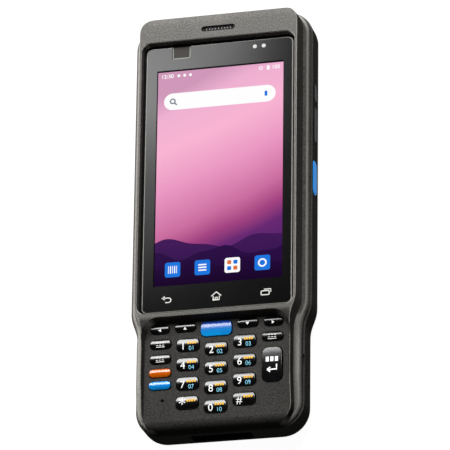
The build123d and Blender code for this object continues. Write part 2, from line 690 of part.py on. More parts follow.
def rear_openings():
    """Everything that is cut through or into the walls of the rear housing."""
    cuts = [battery_bay(), latch_slot()]
    width, depth, height = SCAN_WINDOW_SIZE
    gap = SCAN_WINDOW_GAP
    front = TOP_Y - SCAN_WINDOW_SET_BACK - depth - gap
    z0 = SCAN_WINDOW_Z - height / 2 - gap
    z1 = SCAN_WINDOW_Z + height / 2 + gap
    cuts.append(block(-width / 2 - gap, width / 2 + gap, front, TOP_Y + 1, z0, z1))
    view = width / 2 - SCAN_WINDOW_LIP[0]
    lip = SCAN_WINDOW_LIP[1]
    cuts.append(block(-view, view, TOP_Y - SCAN_VIEW_DEPTH, TOP_Y, z0 + lip, z1 - lip))
    seat = REAR_GLASS_SET_BACK + REAR_GLASS_THICKNESS
    for x, radius in ((0.0, CAMERA_WINDOW_RADIUS), (FLASH_X, FLASH_RADIUS)):
        cuts.append(pillar(x, CAMERA_Y, radius + REAR_GLASS_GAP, -1, seat))
        cuts.append(pillar(x, CAMERA_Y, radius - REAR_GLASS_LIP, -1, WALL + 1))
    for index in range(SPEAKER_SLOTS):
        y = SPEAKER_Y + (index - (SPEAKER_SLOTS - 1) / 2) * SPEAKER_SLOT_PITCH
        cuts.append(slot_block(-SPEAKER_X, y, *SPEAKER_SLOT, -1, WALL + 1))
    cuts.append(side_key_hole(1, POWER_Y, POWER_LENGTH, SIDE_KEY_HEIGHT, SIDE_GAP))
    cuts.append(side_key_hole(1, VOLUME_Y, VOLUME_LENGTH, SIDE_KEY_HEIGHT, SIDE_GAP + ROCKER_ROOM))
    for side in (-1, 1):
        cuts.append(side_key_hole(side, TRIGGER_Y, TRIGGER_LENGTH, TRIGGER_HEIGHT, SIDE_GAP))
        length, width, depth = STRAP_SLOT
        x = side * (GRIP_WIDTH / 2 - STRAP_SLOT_INSET)
        cuts.append(Pos(x, STRAP_SLOT_Y, PARTING_Z) * Box(width, length, 2 * depth))
    cuts += port_openings()
    for x, width, length in contact_places():
        size = (width + 2 * CONTACT_GAP, length + 2 * CONTACT_GAP, 3 * BAY_WALL)
        cuts.append(Pos(x, CONTACT_Y, BAY_ROOF_Z) * Box(*size))
    for x, y in SCREWS:
        cuts.append(pillar(x, y, SCREW_HEAD_RADIUS + SCREW_HEAD_GAP, -1, SCREW_SEAT_Z))
        cuts.append(pillar(x, y, SCREW_SHANK_RADIUS + CLEARANCE_HOLE, 0, PARTING_Z + 1))
    reach = rocker_reach()
    radius = SIDE_FLANGE_THICKNESS / 2 + ROCKER_PIN_GAP
    cuts.append(pillar(*ROCKER_AXIS, radius, SIDE_KEY_Z - reach, SIDE_KEY_Z + reach))
    return cuts


def port_openings():
    """Recess of the port cover, its hinge holes and the socket opening behind it."""
    half = PORT_WIDTH / 2 + PORT_GAP
    z0 = PORT_BASE_Z - PORT_GAP
    z1 = PORT_BASE_Z + PORT_HEIGHT + PORT_GAP
    recess = block(-half, half, BOTTOM_Y - 1, PORT_BACK_Y + PORT_ROOM, z0, z1)
    reach = half + PORT_PIN_LENGTH
    holes = bar_along_x(-reach, reach, *PORT_AXIS, PORT_PIN_RADIUS + PORT_PIN_GAP)
    width, height = SOCKET_OPENING
    half = width / 2 + SOCKET_MOUTH_GAP
    rise = height / 2 + SOCKET_MOUTH_GAP
    mouth = block(-half, half, BOTTOM_Y, SOCKET_FACE_Y + PORT_ROOM, SOCKET_Z - rise, SOCKET_Z + rise)
    return [recess, holes, mouth]


def rear_cavity():
    """Space inside the rear housing, with corners that follow the outer edge."""
    room = raise_face(body_face(WALL), WALL, PARTING_Z + 1)
    room = fillet(edges_at(room, Axis.Z, WALL), BACK_EDGE - WALL)
    half = COVER_HALF_WIDTH + COVER_GAP + BAY_WALL
    kept = block(-half, half, BAY_BOTTOM_Y - BAY_WALL, BATTERY_TOP_Y + 2, 0, BAY_ROOF_Z + BAY_WALL)
    reach = half + TRUNNION_LENGTH
    kept += block(-reach, reach, BARREL_Y - TRUNNION_BLOCK, BAY_BOTTOM_Y, 0, 2 * BARREL_RADIUS + BAY_WALL)
    end_y = BOLT_TIP_Y + LATCH_LENGTH + LATCH_BLOCK
    kept += block(-half, half, BATTERY_TOP_Y, end_y, 0, COVER_THICKNESS + CATCH_THICKNESS + CATCH_ROOF)
    port_half = PORT_WIDTH / 2 + PORT_GAP + PORT_PIN_LENGTH + PORT_BLOCK
    kept += block(-port_half, port_half, BOTTOM_Y, SOCKET_FACE_Y, 0, PARTING_Z)
    return room - kept


def rear_supports():
    """Screw bosses, board stand-offs and the ribs behind the side keys."""
    rear = [pillar(x, y, BOSS_RADIUS, WALL / 2, FRONT_Z) for x, y in SCREWS]
    roof = BAY_ROOF_Z + BAY_WALL
    for side in (-1, 1):
        x = side * (BAY_HALF_WIDTH - STANDOFF_INSET)
        rear.append(pillar(x, BATTERY_TOP_Y - STANDOFF_PLACE, STANDOFF_RADIUS, roof - ROOT, BOARD_Z))
        x = side * (SIDE_FACE_X - UPPER_STANDOFF_SIDE)
        rear.append(pillar(x, TOP_Y - UPPER_STANDOFF_PLACE, STANDOFF_RADIUS, WALL - ROOT, BOARD_Z))
        length = SIDE_BOARD_HEIGHT
        x1 = side * (SIDE_BOARD_X - SIDE_BOARD_THICKNESS)
        x0 = x1 - side * SIDE_RIB_THICKNESS
        first = TRIGGER_Y - length / 2
        last = POWER_Y + length / 2 if side > 0 else TRIGGER_Y + length / 2
        top = SIDE_KEY_Z + SIDE_RIB_RISE
        rear.append(block(min(x0, x1), max(x0, x1), first, last, WALL - ROOT, top))
        x, y = ROCKER_AXIS
        inner = SIDE_KEY_Z + side * (rocker_reach() - ROCKER_PIN_LENGTH + ROCKER_EAR_GAP)
        outer = SIDE_KEY_Z + side * rocker_reach()
        ear = (x - ROCKER_EAR, SIDE_INNER_X + ROOT, y - ROCKER_EAR, y + ROCKER_EAR)
        rear.append(block(*ear, min(inner, outer), max(inner, outer)))
    return rear


def rocker_reach():
    """Distance from the middle of the volume key to the end of its pivot pins."""
    return SIDE_KEY_HEIGHT / 2 + SIDE_FLANGE + ROCKER_PIN_LENGTH


def rear_housing():
    """Lower shell with battery bay, scan window frame, side key openings and port recess."""
    limit = fillet(edges_at(raise_face(body_face(), 0, FRONT_Z), Axis.Z, 0), BACK_EDGE)
    shell = raise_face(body_face(), 0, PARTING_Z) & limit
    shell = fillet(edges_at(shell, Axis.Z, PARTING_Z), LEDGE_EDGE)
    shell -= rear_cavity()
    for support in rear_supports():
        shell += support & limit
    for cut in rear_openings():
        shell -= cut
    return shell


def housing_seal():
    """Flat rubber seal between the two housings."""
    ring = body_face(FRONT_INSET + SEAL_INSET) - body_face(WALL - SEAL_REACH)
    return raise_face(ring, PARTING_Z, FRONT_Z)


# ---------------------------------------------------------------- display
def display_window():
    """Cover glass with a notch in its upper edge and holes for the two lamps."""
    size = (WINDOW_WIDTH, WINDOW_LENGTH, WINDOW_CORNER)
    glass = rounded_block(0, WINDOW_CENTRE_Y, *size, WINDOW_SEAT_Z, WINDOW_TOP_Z)
    glass = chamfer(edges_at(glass, Axis.Z, WINDOW_TOP_Z), WINDOW_BEVEL)
    notch = (NOTCH_X - NOTCH_WIDTH / 2, NOTCH_X + NOTCH_WIDTH / 2)
    glass -= block(*notch, WINDOW_TOP_Y - NOTCH_DEPTH, WINDOW_TOP_Y + 1, 0, RIM_Z)
    for x in lamp_places():
        glass -= pillar(x, LAMP_Y, LAMP_RADIUS + LAMP_GAP, 0, RIM_Z)
    return glass


def window_gasket():
    """Soft ring that fills the gap round the cover glass, below the glass's upper face."""
    outer = 2 * (WINDOW_GAP - GASKET_GAP)
    size = (WINDOW_WIDTH + outer, WINDOW_LENGTH + outer, POCKET_CORNER - GASKET_GAP)
    ring = rounded_block(0, WINDOW_CENTRE_Y, *size, WINDOW_SEAT_Z, WINDOW_TOP_Z - GASKET_DROP)
    inner = 2 * GASKET_GAP
    size = (WINDOW_WIDTH + inner, WINDOW_LENGTH + inner, WINDOW_CORNER + GASKET_GAP)
    return ring - rounded_block(0, WINDOW_CENTRE_Y, *size, WINDOW_SEAT_Z - 1, WINDOW_TOP_Z)


def lamp_places():
    """X of the two small lamp lenses."""
    return (LAMP_X - LAMP_PITCH / 2, LAMP_X + LAMP_PITCH / 2)


def display_panel():
    """Display module, bonded to the back of the window."""
    size = (DISPLAY_WIDTH, DISPLAY_LENGTH, DISPLAY_CORNER)
    return rounded_block(0, DISPLAY_CENTRE_Y, *size, DISPLAY_BACK_Z, WINDOW_SEAT_Z)


def sensor_window():
    """Smoked sensor cover in the notch of the glass."""
    size = (NOTCH_WIDTH - 2 * SENSOR_GAP, NOTCH_DEPTH - 2 * SENSOR_GAP, SENSOR_CORNER)
    y = WINDOW_TOP_Y - NOTCH_DEPTH / 2
    return rounded_block(NOTCH_X, y, *size, WINDOW_SEAT_Z, WINDOW_TOP_Z - SENSOR_DROP)


def status_lamps():
    """Two clear lens pins that stand on the window ledge."""
    return [pillar(x, LAMP_Y, LAMP_RADIUS, WINDOW_SEAT_Z, WINDOW_TOP_Z) for x in lamp_places()]


def inner_frame():
    """Metal tray behind the display, with a rim that meets the front housing."""
    width = DISPLAY_WIDTH + 2 * DISPLAY_GAP + 2 * FRAME_RIM
    length = DISPLAY_LENGTH + 2 * DISPLAY_GAP + 2 * FRAME_RIM
    z0 = DISPLAY_BACK_Z - FRAME_THICKNESS
    tray = rounded_block(0, DISPLAY_CENTRE_Y, width, length, FRAME_CORNER, z0, CEILING_Z)
    inner = (DISPLAY_WIDTH + 2 * DISPLAY_GAP, DISPLAY_LENGTH + 2 * DISPLAY_GAP)
    tray -= rounded_block(0, DISPLAY_CENTRE_Y, *inner, OPENING_CORNER, DISPLAY_BACK_Z, CEILING_Z + 1)
    for side in (-1, 1):
        for end in (-1, 1):
            x = side * (FRAME_WEB + FRAME_OPENING[0]) / 2
            y = DISPLAY_CENTRE_Y + end * (FRAME_WEB + FRAME_OPENING[1]) / 2
            tray -= rounded_block(x, y, *FRAME_OPENING, FRAME_OPENING_CORNER, z0 - 1, DISPLAY_BACK_Z + 1)
    for x, y in SCREWS:
        tray -= pillar(x, y, FRONT_BOSS_RADIUS + BOSS_GAP, 0, RIM_Z)
    return tray


# ---------------------------------------------------------------- key pad
def key_cap(x, y, width, height, radius):
    """Key cap with a crowned top, and a flange that keeps it under the plate."""
    crown = (height * height / 4 + KEY_CROWN * KEY_CROWN) / (2 * KEY_CROWN)
    cap = rounded_block(x, y, width, height, radius, KEY_BASE_Z, KEY_TOP_Z)
    cap = cap & bar_along_x(x - width, x + width, y, KEY_TOP_Z - crown, crown) + block(
        x - width, x + width, y - height, y + height, 0, KEY_TOP_Z - KEY_CROWN
    )
    cap = fillet(upper_edges(cap, PLATE_Z), KEY_EDGE)
    size = (width + 2 * KEY_FLANGE, height + 2 * KEY_FLANGE, radius + KEY_FLANGE)
    return cap + rounded_block(x, y, *size, KEY_BASE_Z, FLANGE_TOP_Z)


def keypad_mat():
    """Rubber mat with one dome under each key."""
    width = 2 * (PLATE_HALF_WIDTH - MAT_MARGIN)
    top = PLATE_TOP_Y + MAT_RISE
    bottom = BOTTOM_Y + KEY_BOARD_INSET + MAT_END_MARGIN
    mat = rounded_block(0, (top + bottom) / 2, width, top - bottom, MAT_CORNER, MAT_Z, MAT_TOP_Z)
    for _, x, y, _ in key_layout():
        dome = Pos(x, y, (MAT_TOP_Z + DOME_TOP_Z) / 2) * Cylinder(DOME_RADIUS, DOME_TOP_Z - MAT_TOP_Z)
        mat += dome
    for side in (-1, 1):
        for row in POST_ROWS:
            y = FIRST_ROW_Y - row * ROW_PITCH
            mat -= pillar(side * POST_X, y, POST_RADIUS + POST_GAP, 0, RIM_Z)
    for x, y in SCREWS:
        mat -= pillar(x, y, FRONT_BOSS_RADIUS + BOSS_GAP, 0, RIM_Z)
    return mat - pillar(*MICROPHONE_PLACE, MICROPHONE_RADIUS + MICROPHONE_GAP, 0, RIM_Z)


def keypad_board():
    """Circuit board under the key mat, held against the posts of the front housing."""
    width = 2 * (PLATE_HALF_WIDTH - KEY_BOARD_MARGIN)
    top = PLATE_TOP_Y + KEY_BOARD_RISE
    bottom = BOTTOM_Y + KEY_BOARD_INSET
    size = (width, top - bottom, KEY_BOARD_CORNER)
    board = rounded_block(0, (top + bottom) / 2, *size, KEY_BOARD_Z, MAT_Z)
    for x, y in SCREWS:
        board -= pillar(x, y, FRONT_BOSS_RADIUS + BOSS_GAP, 0, RIM_Z)
    return board


def microphone():
    """Microphone in its rubber boot, between the key board and the plate."""
    return pillar(*MICROPHONE_PLACE, MICROPHONE_RADIUS, MAT_Z, CEILING_Z)


# ---------------------------------------------------------------- earpiece
def earpiece():
    """Sound capsule behind the slot in the top bezel."""
    width, height, depth = EARPIECE_SIZE
    top = RIM_Z - BEZEL_PANEL
    return rounded_block(0, EARPIECE_Y, width, height, EARPIECE_CORNER, top - depth, top)


def earpiece_grille():
    """Barred insert that fills the earpiece slot."""
    width, height = (size - 2 * GRILLE_GAP for size in EARPIECE_SLOT)
    z0 = RIM_Z - BEZEL_PANEL
    grille = slot_block(0, EARPIECE_Y, width, height, z0, z0 + GRILLE_THICKNESS)
    pitch = (width - height / 2) / EARPIECE_BARS
    for index in range(EARPIECE_BARS):
        x = (index - (EARPIECE_BARS - 1) / 2) * pitch
        hole = Box(pitch / 2, GRILLE_HOLE[0], 2 * GRILLE_HOLE[1])
        grille -= Pos(x, EARPIECE_Y, z0 + GRILLE_THICKNESS) * hole
    return grille


# ---------------------------------------------------------------- side keys
def side_key(side, y, length, height, set_back=0.0):
    """Rounded side key with a flange behind the wall."""
    inner = FLANGE_INNER_X - set_back
    outer = SIDE_FACE_X + SIDE_KEY_PROUD
    plan = RectangleRounded(length, height, height * SIDE_KEY_ROUNDNESS)
    cap = extrude(Plane.YZ * plan, outer - inner)
    cap = fillet(edges_at(cap, Axis.X, outer - inner), SIDE_EDGE)
    size = (length + 2 * SIDE_FLANGE, height + 2 * SIDE_FLANGE)
    flange = RectangleRounded(*size, height * SIDE_KEY_ROUNDNESS)
    cap += extrude(Plane.YZ * flange, SIDE_FLANGE_THICKNESS)
    cap = Pos(inner, y, SIDE_KEY_Z) * cap
    return cap if side > 0 else cap.mirror(Plane.YZ)


def volume_key():
    """Rocker with a pivot pin above and below its flange."""
    key = side_key(1, VOLUME_Y, VOLUME_LENGTH, SIDE_KEY_HEIGHT, ROCKER_GAP)
    reach = rocker_reach() - ROCKER_PIN_GAP
    return key + pillar(*ROCKER_AXIS, SIDE_FLANGE_THICKNESS / 2, SIDE_KEY_Z - reach, SIDE_KEY_Z + reach)


def switch_places():
    """Side and y of every switch behind the side keys."""
    rocker = VOLUME_LENGTH / 2 - SWITCH_SIZE[1] / 2
    right = [TRIGGER_Y, VOLUME_Y - rocker, VOLUME_Y + rocker, POWER_Y]
    return [(1, y) for y in right] + [(-1, TRIGGER_Y)]


def side_switches():
    """Small push switches that face the side keys."""
    depth, length, height = SWITCH_SIZE
    switches = []
    for side, y in switch_places():
        deep = depth * SWITCH_BODY
        body = Pos(side * (SIDE_BOARD_X + deep / 2), y, SIDE_KEY_Z) * Box(deep, length, height)
        plunger = Pos(side * (SIDE_BOARD_X + depth / 2), y, SIDE_KEY_Z) * Box(depth, *PLUNGER_SIZE)
        switches.append(body + plunger)
    return switches


def side_boards():
    """Narrow boards that carry the side switches, one on each side."""
    boards = []
    for side in (-1, 1):
        places = [y for place, y in switch_places() if place == side]
        y0 = min(places) - SIDE_BOARD_MARGIN
        y1 = max(places) + SIDE_BOARD_MARGIN
        x0 = side * (SIDE_BOARD_X - SIDE_BOARD_THICKNESS)
        x1 = side * SIDE_BOARD_X
        z0 = SIDE_KEY_Z - SIDE_BOARD_HEIGHT / 2
        z1 = SIDE_KEY_Z + SIDE_BOARD_HEIGHT / 2
        boards.append(block(min(x0, x1), max(x0, x1), y0, y1, z0, z1))
    return boards


# ---------------------------------------------------------------- boards
def main_board():
    """Main circuit board, on the stand-offs of the rear housing."""
    top = WINDOW_TOP_Y - BOARD_TOP_GAP
    bottom = PLATE_TOP_Y + BOARD_END_GAP
    size = (2 * BOARD_HALF_WIDTH, top - bottom, BOARD_CORNER)
    board = rounded_block(0, (top + bottom) / 2, *size, BOARD_Z, BOARD_Z + BOARD_THICKNESS)
    for x, y in SCREWS:
        board -= pillar(x, y, BOSS_RADIUS + BOSS_GAP, 0, RIM_Z)
    return board


def board_shields():
    """Pressed metal cans over the radio and processor areas of the main board."""
    z0 = BOARD_Z + BOARD_THICKNESS
    edge = BOARD_HALF_WIDTH - SHIELD_MARGIN
    inner = SHIELD_SPACE / 2
    lower = BOARD_HALF_WIDTH - LOWER_SHIELD_MARGIN
    top = TOP_Y - SHIELD_PLACE
    lower_y = PLATE_TOP_Y + LOWER_SHIELD_RISE
    places = (
        (-edge, SHIELD_SPLIT - inner, top - SHIELD_LENGTHS[0], top),
        (SHIELD_SPLIT + inner, edge, top - SHIELD_LENGTHS[1], top),
        (-lower, lower, lower_y, lower_y + LOWER_SHIELD_LENGTH),
    )
    cans = []
    for x0, x1, y0, y1 in places:
        size = (x1 - x0, y1 - y0, SHIELD_CORNER)
        cans.append(rounded_block((x0 + x1) / 2, (y0 + y1) / 2, *size, z0, z0 + SHIELD_HEIGHT))
    return cans


# ---------------------------------------------------------------- top end and back
def scan_window():
    """Tinted window in front of the scan engine."""
    width, depth, height = SCAN_WINDOW_SIZE
    y1 = TOP_Y - SCAN_WINDOW_SET_BACK
    z0 = SCAN_WINDOW_Z - height / 2
    z1 = SCAN_WINDOW_Z + height / 2
    return block(-width / 2, width / 2, y1 - depth - SCAN_WINDOW_GAP, y1, z0, z1)


def scan_engine():
    """Barcode scan engine with its lens and aiming lamp openings."""
    width, depth = SCANNER_SIZE
    y1 = TOP_Y - SCANNER_SET_BACK
    body = block(-width / 2, width / 2, y1 - depth, y1, WALL, BOARD_Z - SCANNER_GAP)
    z = SCAN_WINDOW_Z - SCAN_LENS_DROP
    for x, radius in SCAN_LENSES:
        body -= Pos(x, y1, z) * Rot(90, 0, 0) * Cylinder(radius, 2 * SCAN_LENS_DEPTH)
    return body


def camera_module():
    """Camera block that stands on the inside of the back."""
    width, length, height = CAMERA_SIZE
    x = width / 2
    body = block(-x, x, CAMERA_Y - length / 2, CAMERA_Y + length / 2, WALL, WALL + height)
    seat = REAR_GLASS_SET_BACK + REAR_GLASS_THICKNESS
    barrel = CAMERA_WINDOW_RADIUS - CAMERA_BARREL_INSET
    return body + pillar(0, CAMERA_Y, barrel, seat + CAMERA_BARREL_GAP, WALL + ROOT)


def rear_lens(x, radius):
    """Flat glass disc set into the back."""
    return pillar(x, CAMERA_Y, radius, REAR_GLASS_SET_BACK, REAR_GLASS_SET_BACK + REAR_GLASS_THICKNESS)


def loudspeaker():
    """Loudspeaker box behind the slots in the back."""
    width, length, height = SPEAKER_SIZE
    return rounded_block(-SPEAKER_X, SPEAKER_Y, width, length, SPEAKER_CORNER, WALL, WALL + height)


def vibration_motor():
    """Round vibration motor on the inside of the back."""
    return pillar(SPEAKER_X, SPEAKER_Y, MOTOR_RADIUS, WALL, WALL + MOTOR_THICKNESS)


# ---------------------------------------------------------------- battery
def battery_pack():
    """Flat battery in its bay, with a contact recess at the upper end."""
    z0 = BAY_ROOF_Z - BATTERY_HEIGHT
    y = BATTERY_TOP_Y - BATTERY_LENGTH / 2
    pack = rounded_block(0, y, BATTERY_WIDTH, BATTERY_LENGTH, BATTERY_CORNER, z0, BAY_ROOF_Z)
    return fillet(edges_at(pack, Axis.Z, z0), BATTERY_EDGE)


def contact_places():
    """X, width and length of each battery contact."""
    middle = (CONTACT_COUNT - 1) / 2
    return [((index - middle) * CONTACT_PITCH, *CONTACT_SIZE) for index in range(CONTACT_COUNT)]


def battery_contacts():
    """Spring contacts that reach from the main board through the roof of the bay."""
    contacts = []
    for x, width, length in contact_places():
        ends = (CONTACT_Y - length / 2, CONTACT_Y + length / 2)
        contacts.append(block(x - width / 2, x + width / 2, *ends, BAY_ROOF_Z, BOARD_Z))
    return contacts


def battery_cover():
    """Door over the battery, with barrel hinge, trunnions and grip ribs."""
    half = COVER_HALF_WIDTH
    door = block(-half, half, BARREL_Y, COVER_TOP_Y, 0, COVER_THICKNESS)
    door += bar_along_x(-half, half, BARREL_Y, BARREL_RADIUS, BARREL_RADIUS)
    reach = half + TRUNNION_LENGTH - TRUNNION_END_GAP
    door += bar_along_x(-reach, reach, BARREL_Y, BARREL_RADIUS, TRUNNION_RADIUS)
    for index in range(COVER_RIBS):
        y = COVER_TOP_Y - COVER_RIB_PLACE - index * COVER_RIB_PITCH
        door -= Pos(0, y, 0) * Box(*COVER_RIB)
    return door


def battery_catch():
    """Catch plate on the inside of the door, whose tip lies over the latch's bolt when shut."""
    z0 = COVER_THICKNESS
    ends = (COVER_TOP_Y - CATCH_SEAT, CATCH_TIP_Y)
    plate = block(-CATCH_HALF_WIDTH, CATCH_HALF_WIDTH, *ends, z0, z0 + CATCH_THICKNESS)
    return chamfer(edges_at(plate, Axis.Y, CATCH_TIP_Y).sort_by(Axis.Z)[-1], CATCH_THICKNESS / 2)


def battery_latch():
    """Sliding latch, drawn back so that the battery door is free."""
    z0 = LATCH_SET_BACK
    z1 = z0 + LATCH_THICKNESS
    y0 = LATCH_Y
    y1 = y0 + LATCH_LENGTH
    slider = block(-LATCH_HALF_WIDTH, LATCH_HALF_WIDTH, y0, y1, z0, z1)
    rail = LATCH_HALF_WIDTH + LATCH_RAIL
    slider += block(-rail, rail, y0, y1, z0 + LATCH_LIP, z1)
    slider += block(-CATCH_HALF_WIDTH, CATCH_HALF_WIDTH, BOLT_TIP_Y, y0, z1 - BOLT_THICKNESS, z1)
    for index in range(LATCH_GRIPS):
        y = (y0 + y1) / 2 + (index - (LATCH_GRIPS - 1) / 2) * LATCH_GRIP_PITCH
        slider -= Pos(0, y, z0) * Box(*LATCH_GRIP)
    return slider


# ---------------------------------------------------------------- interface port
def interface_socket():
    """Metal-shelled interface socket with its contact tongue."""
    width, height = SOCKET_OPENING
    half = width / 2 + SOCKET_SHELL
    z0 = SOCKET_Z - height / 2 - SOCKET_SHELL
    z1 = SOCKET_Z + height / 2 + SOCKET_SHELL
    end_y = SOCKET_FACE_Y + SOCKET_DEPTH
    shell = block(-half, half, SOCKET_FACE_Y, end_y, z0, z1)
    back_y = end_y - SOCKET_BACK_WALL
    rise = height / 2
    shell -= block(-width / 2, width / 2, SOCKET_FACE_Y - 1, back_y, SOCKET_Z - rise, SOCKET_Z + rise)
    tongue = width / 2 - TONGUE_INSET
    rise = TONGUE_THICKNESS / 2
    front_y = SOCKET_FACE_Y + TONGUE_SET_BACK
    return shell + block(-tongue, tongue, front_y, back_y + ROOT, SOCKET_Z - rise, SOCKET_Z + rise)


def port_cover():
    """Hinged cover over the interface socket, with a soft plug on its inner side."""
    half = PORT_WIDTH / 2
    top = PORT_BASE_Z + PORT_HEIGHT
    cover = block(-half, half, PORT_FACE_Y, PORT_BACK_Y, PORT_AXIS[1], top)
    cover += bar_along_x(-half, half, *PORT_AXIS, PORT_BARREL_RADIUS)
    reach = half + PORT_PIN_LENGTH
    cover += bar_along_x(-reach, reach, *PORT_AXIS, PORT_PIN_RADIUS)
    width, height = SOCKET_OPENING
    rise = height / 2 - PLUG_PAD_GAP
    ends = (PORT_BACK_Y, PORT_BACK_Y + PLUG_PAD_DEPTH)
    cover += block(-width / 2, width / 2, *ends, SOCKET_Z - rise, SOCKET_Z + rise)
    return cover - Pos(0, PORT_FACE_Y, top) * Box(*PORT_LIFT_NOTCH)


# ---------------------------------------------------------------- fasteners
def housing_screws():
    """Six pan-head screws with cross recesses, driven from the back."""
    screws = []
    for x, y in SCREWS:
        z0 = SCREW_SEAT_Z - SCREW_HEAD_HEIGHT
        screw = pillar(x, y, SCREW_HEAD_RADIUS, z0, SCREW_SEAT_Z)
        screw = fillet(edges_at(screw, Axis.Z, z0), SCREW_HEAD_EDGE)
        screw += pillar(x, y, SCREW_SHANK_RADIUS, SCREW_SEAT_Z, SCREW_SEAT_Z + SCREW_LENGTH)
        for turn in (0, 90):
            screw -= Pos(x, y, z0) * Rot(0, 0, turn) * Box(*SCREW_CROSS)
        screws.append(screw)
    return screws


# ---------------------------------------------------------------- the terminal
def all_parts():
    """Every node of the terminal by name."""
    parts = {
        "front_housing": front_housing(),
        "rear_housing": rear_housing(),
        "housing_seal": housing_seal(),
        "display_window": display_window(),
        "window_gasket": window_gasket(),
        "display_panel": display_panel(),
        "sensor_window": sensor_window(),
        "status_lamps": status_lamps(),
        "inner_frame": inner_frame(),
        "keypad_mat": keypad_mat(),
        "keypad_board": keypad_board(),
        "microphone": microphone(),
        "earpiece": earpiece(),
        "earpiece_grille": earpiece_grille(),
        "side_switches": side_switches(),
        "side_boards": side_boards(),
        "main_board": main_board(),
        "board_shields": board_shields(),
        "scan_window": scan_window(),
        "scan_engine": scan_engine(),
        "camera_module": camera_module(),
        "camera_window": rear_lens(0.0, CAMERA_WINDOW_RADIUS),
        "flash_lens": rear_lens(FLASH_X, FLASH_RADIUS),
        "loudspeaker": loudspeaker(),
        "vibration_motor": vibration_motor(),
        "battery_pack": battery_pack(),
        "battery_contacts": battery_contacts(),
        "battery_cover": battery_cover(),
        "battery_catch": battery_catch(),
        "battery_latch": battery_latch(),
        "interface_socket": interface_socket(),
        "port_cover": port_cover(),
        "housing_screws": housing_screws(),
        "power_key": side_key(1, POWER_Y, POWER_LENGTH, SIDE_KEY_HEIGHT),
        "volume_key": volume_key(),
        "right_trigger": side_key(1, TRIGGER_Y, TRIGGER_LENGTH, TRIGGER_HEIGHT),
        "left_trigger": side_key(-1, TRIGGER_Y, TRIGGER_LENGTH, TRIGGER_HEIGHT),
    }
    for name, x, y, size in key_layout():
        parts[name] = key_cap(x, y, *size)
    return parts


def main():
    """Writes one STEP file per node."""
    os.makedirs("parts", exist_ok=True)
    for name, shape in all_parts().items():
        shape = Compound(children=shape) if isinstance(shape, list) else shape
        export_step(shape, f"parts/{name}.step")


main()
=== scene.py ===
"""Dresses a portable data terminal: finishes, start screen, key legends, small fittings and studio.

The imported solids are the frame. Every piece made here lies in the same frame, in metres:
+X right of the display, +Y towards the scanner end, +Z out of the display.
"""

from __future__ import annotations

import logging
import math
from dataclasses import dataclass, field
from enum import Enum
from typing import Callable, Iterable, Sequence, Union

import bmesh
import bpy
from mathutils import Euler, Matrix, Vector
from mathutils.bvhtree import BVHTree

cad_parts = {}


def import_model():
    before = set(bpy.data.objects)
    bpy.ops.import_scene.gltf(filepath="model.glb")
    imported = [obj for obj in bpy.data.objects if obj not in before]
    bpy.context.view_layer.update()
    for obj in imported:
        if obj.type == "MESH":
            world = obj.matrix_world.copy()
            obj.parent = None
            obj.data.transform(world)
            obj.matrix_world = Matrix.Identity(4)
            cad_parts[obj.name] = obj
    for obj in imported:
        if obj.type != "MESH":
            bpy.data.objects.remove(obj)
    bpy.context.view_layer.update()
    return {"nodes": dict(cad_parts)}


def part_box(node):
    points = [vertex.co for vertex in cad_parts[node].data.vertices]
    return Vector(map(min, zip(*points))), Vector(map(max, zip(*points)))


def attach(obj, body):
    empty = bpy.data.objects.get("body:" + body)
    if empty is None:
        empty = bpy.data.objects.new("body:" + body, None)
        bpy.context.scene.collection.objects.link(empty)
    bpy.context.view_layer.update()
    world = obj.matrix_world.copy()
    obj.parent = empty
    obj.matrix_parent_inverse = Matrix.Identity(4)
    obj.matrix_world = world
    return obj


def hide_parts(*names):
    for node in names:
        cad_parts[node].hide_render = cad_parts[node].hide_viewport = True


LOG = logging.getLogger("terminal")
CASE = "terminal"  # body that carries what doesn't move
MM = 0.001
JOIN = 0.002  # millimetres within which corners become one
CORNER_STEPS = 8  # edges of a rounded corner
ARC_STEP = 15  # degrees
SHARPEST_TURN = 0.5  # keeps the corners of a stroke short
FIGURE_SHARE = 0.72  # height of a figure in its type size
ABOVE = 0.1  # metres, above all of the terminal
Number = Union[float, "Signal"]
Point = tuple[float, float]
Point3 = tuple[float, float, float]
Colour = tuple[float, float, float, float]
Outline = Sequence[Point]
Chip = tuple[float, float, float, float, float]
Stops = Sequence[tuple[float, str]]
Settings = Union[dict[str, object], None]
Inputs = Union[dict[Union[str, int], object], None]


class Ink(Enum):
    """Colours of printed marks and of lit signs."""

    WHITE = "#e9e9e6"
    YELLOW = "#e0a80e"
    CYAN = "#84cde6"
    GREY = "#c8c8c4"
    LIT_WHITE = "#ffffff"
    LIT_BLUE = "#1f7ae6"
    LIT_GREY = "#7d8494"
    LIT_CORAL = "#e8783c"


def linear(code: str) -> Colour:
    """Scene-linear colour of a six-figure display colour code.

    Args:
        code: a hash sign and six hexadecimal figures.

    Returns:
        Red, green, blue and an alpha of 1.
    """
    steps = [int(code[start : start + 2], 16) / 255 for start in (1, 3, 5)]
    curve = [s / 12.92 if s <= 0.04045 else ((s + 0.055) / 1.055) ** 2.4 for s in steps]
    return (*curve, 1.0)


# ---- shader maths
def on_node(operation: str, swapped: bool = False) -> Callable[..., Signal]:
    """Makes a method that works a value out in a Math node.

    Args:
        operation: the Math node's operation.
        swapped: whether the signal itself comes last.

    Returns:
        The method; it takes the other values, as numbers or signals.
    """

    def method(self: Signal, *others: Number) -> Signal:
        """Result of the operation on this value and the others."""
        values = (*others, self) if swapped else (self, *others)
        return self.graph.node("ShaderNodeMath", {"operation": operation}, dict(enumerate(values)))

    return method


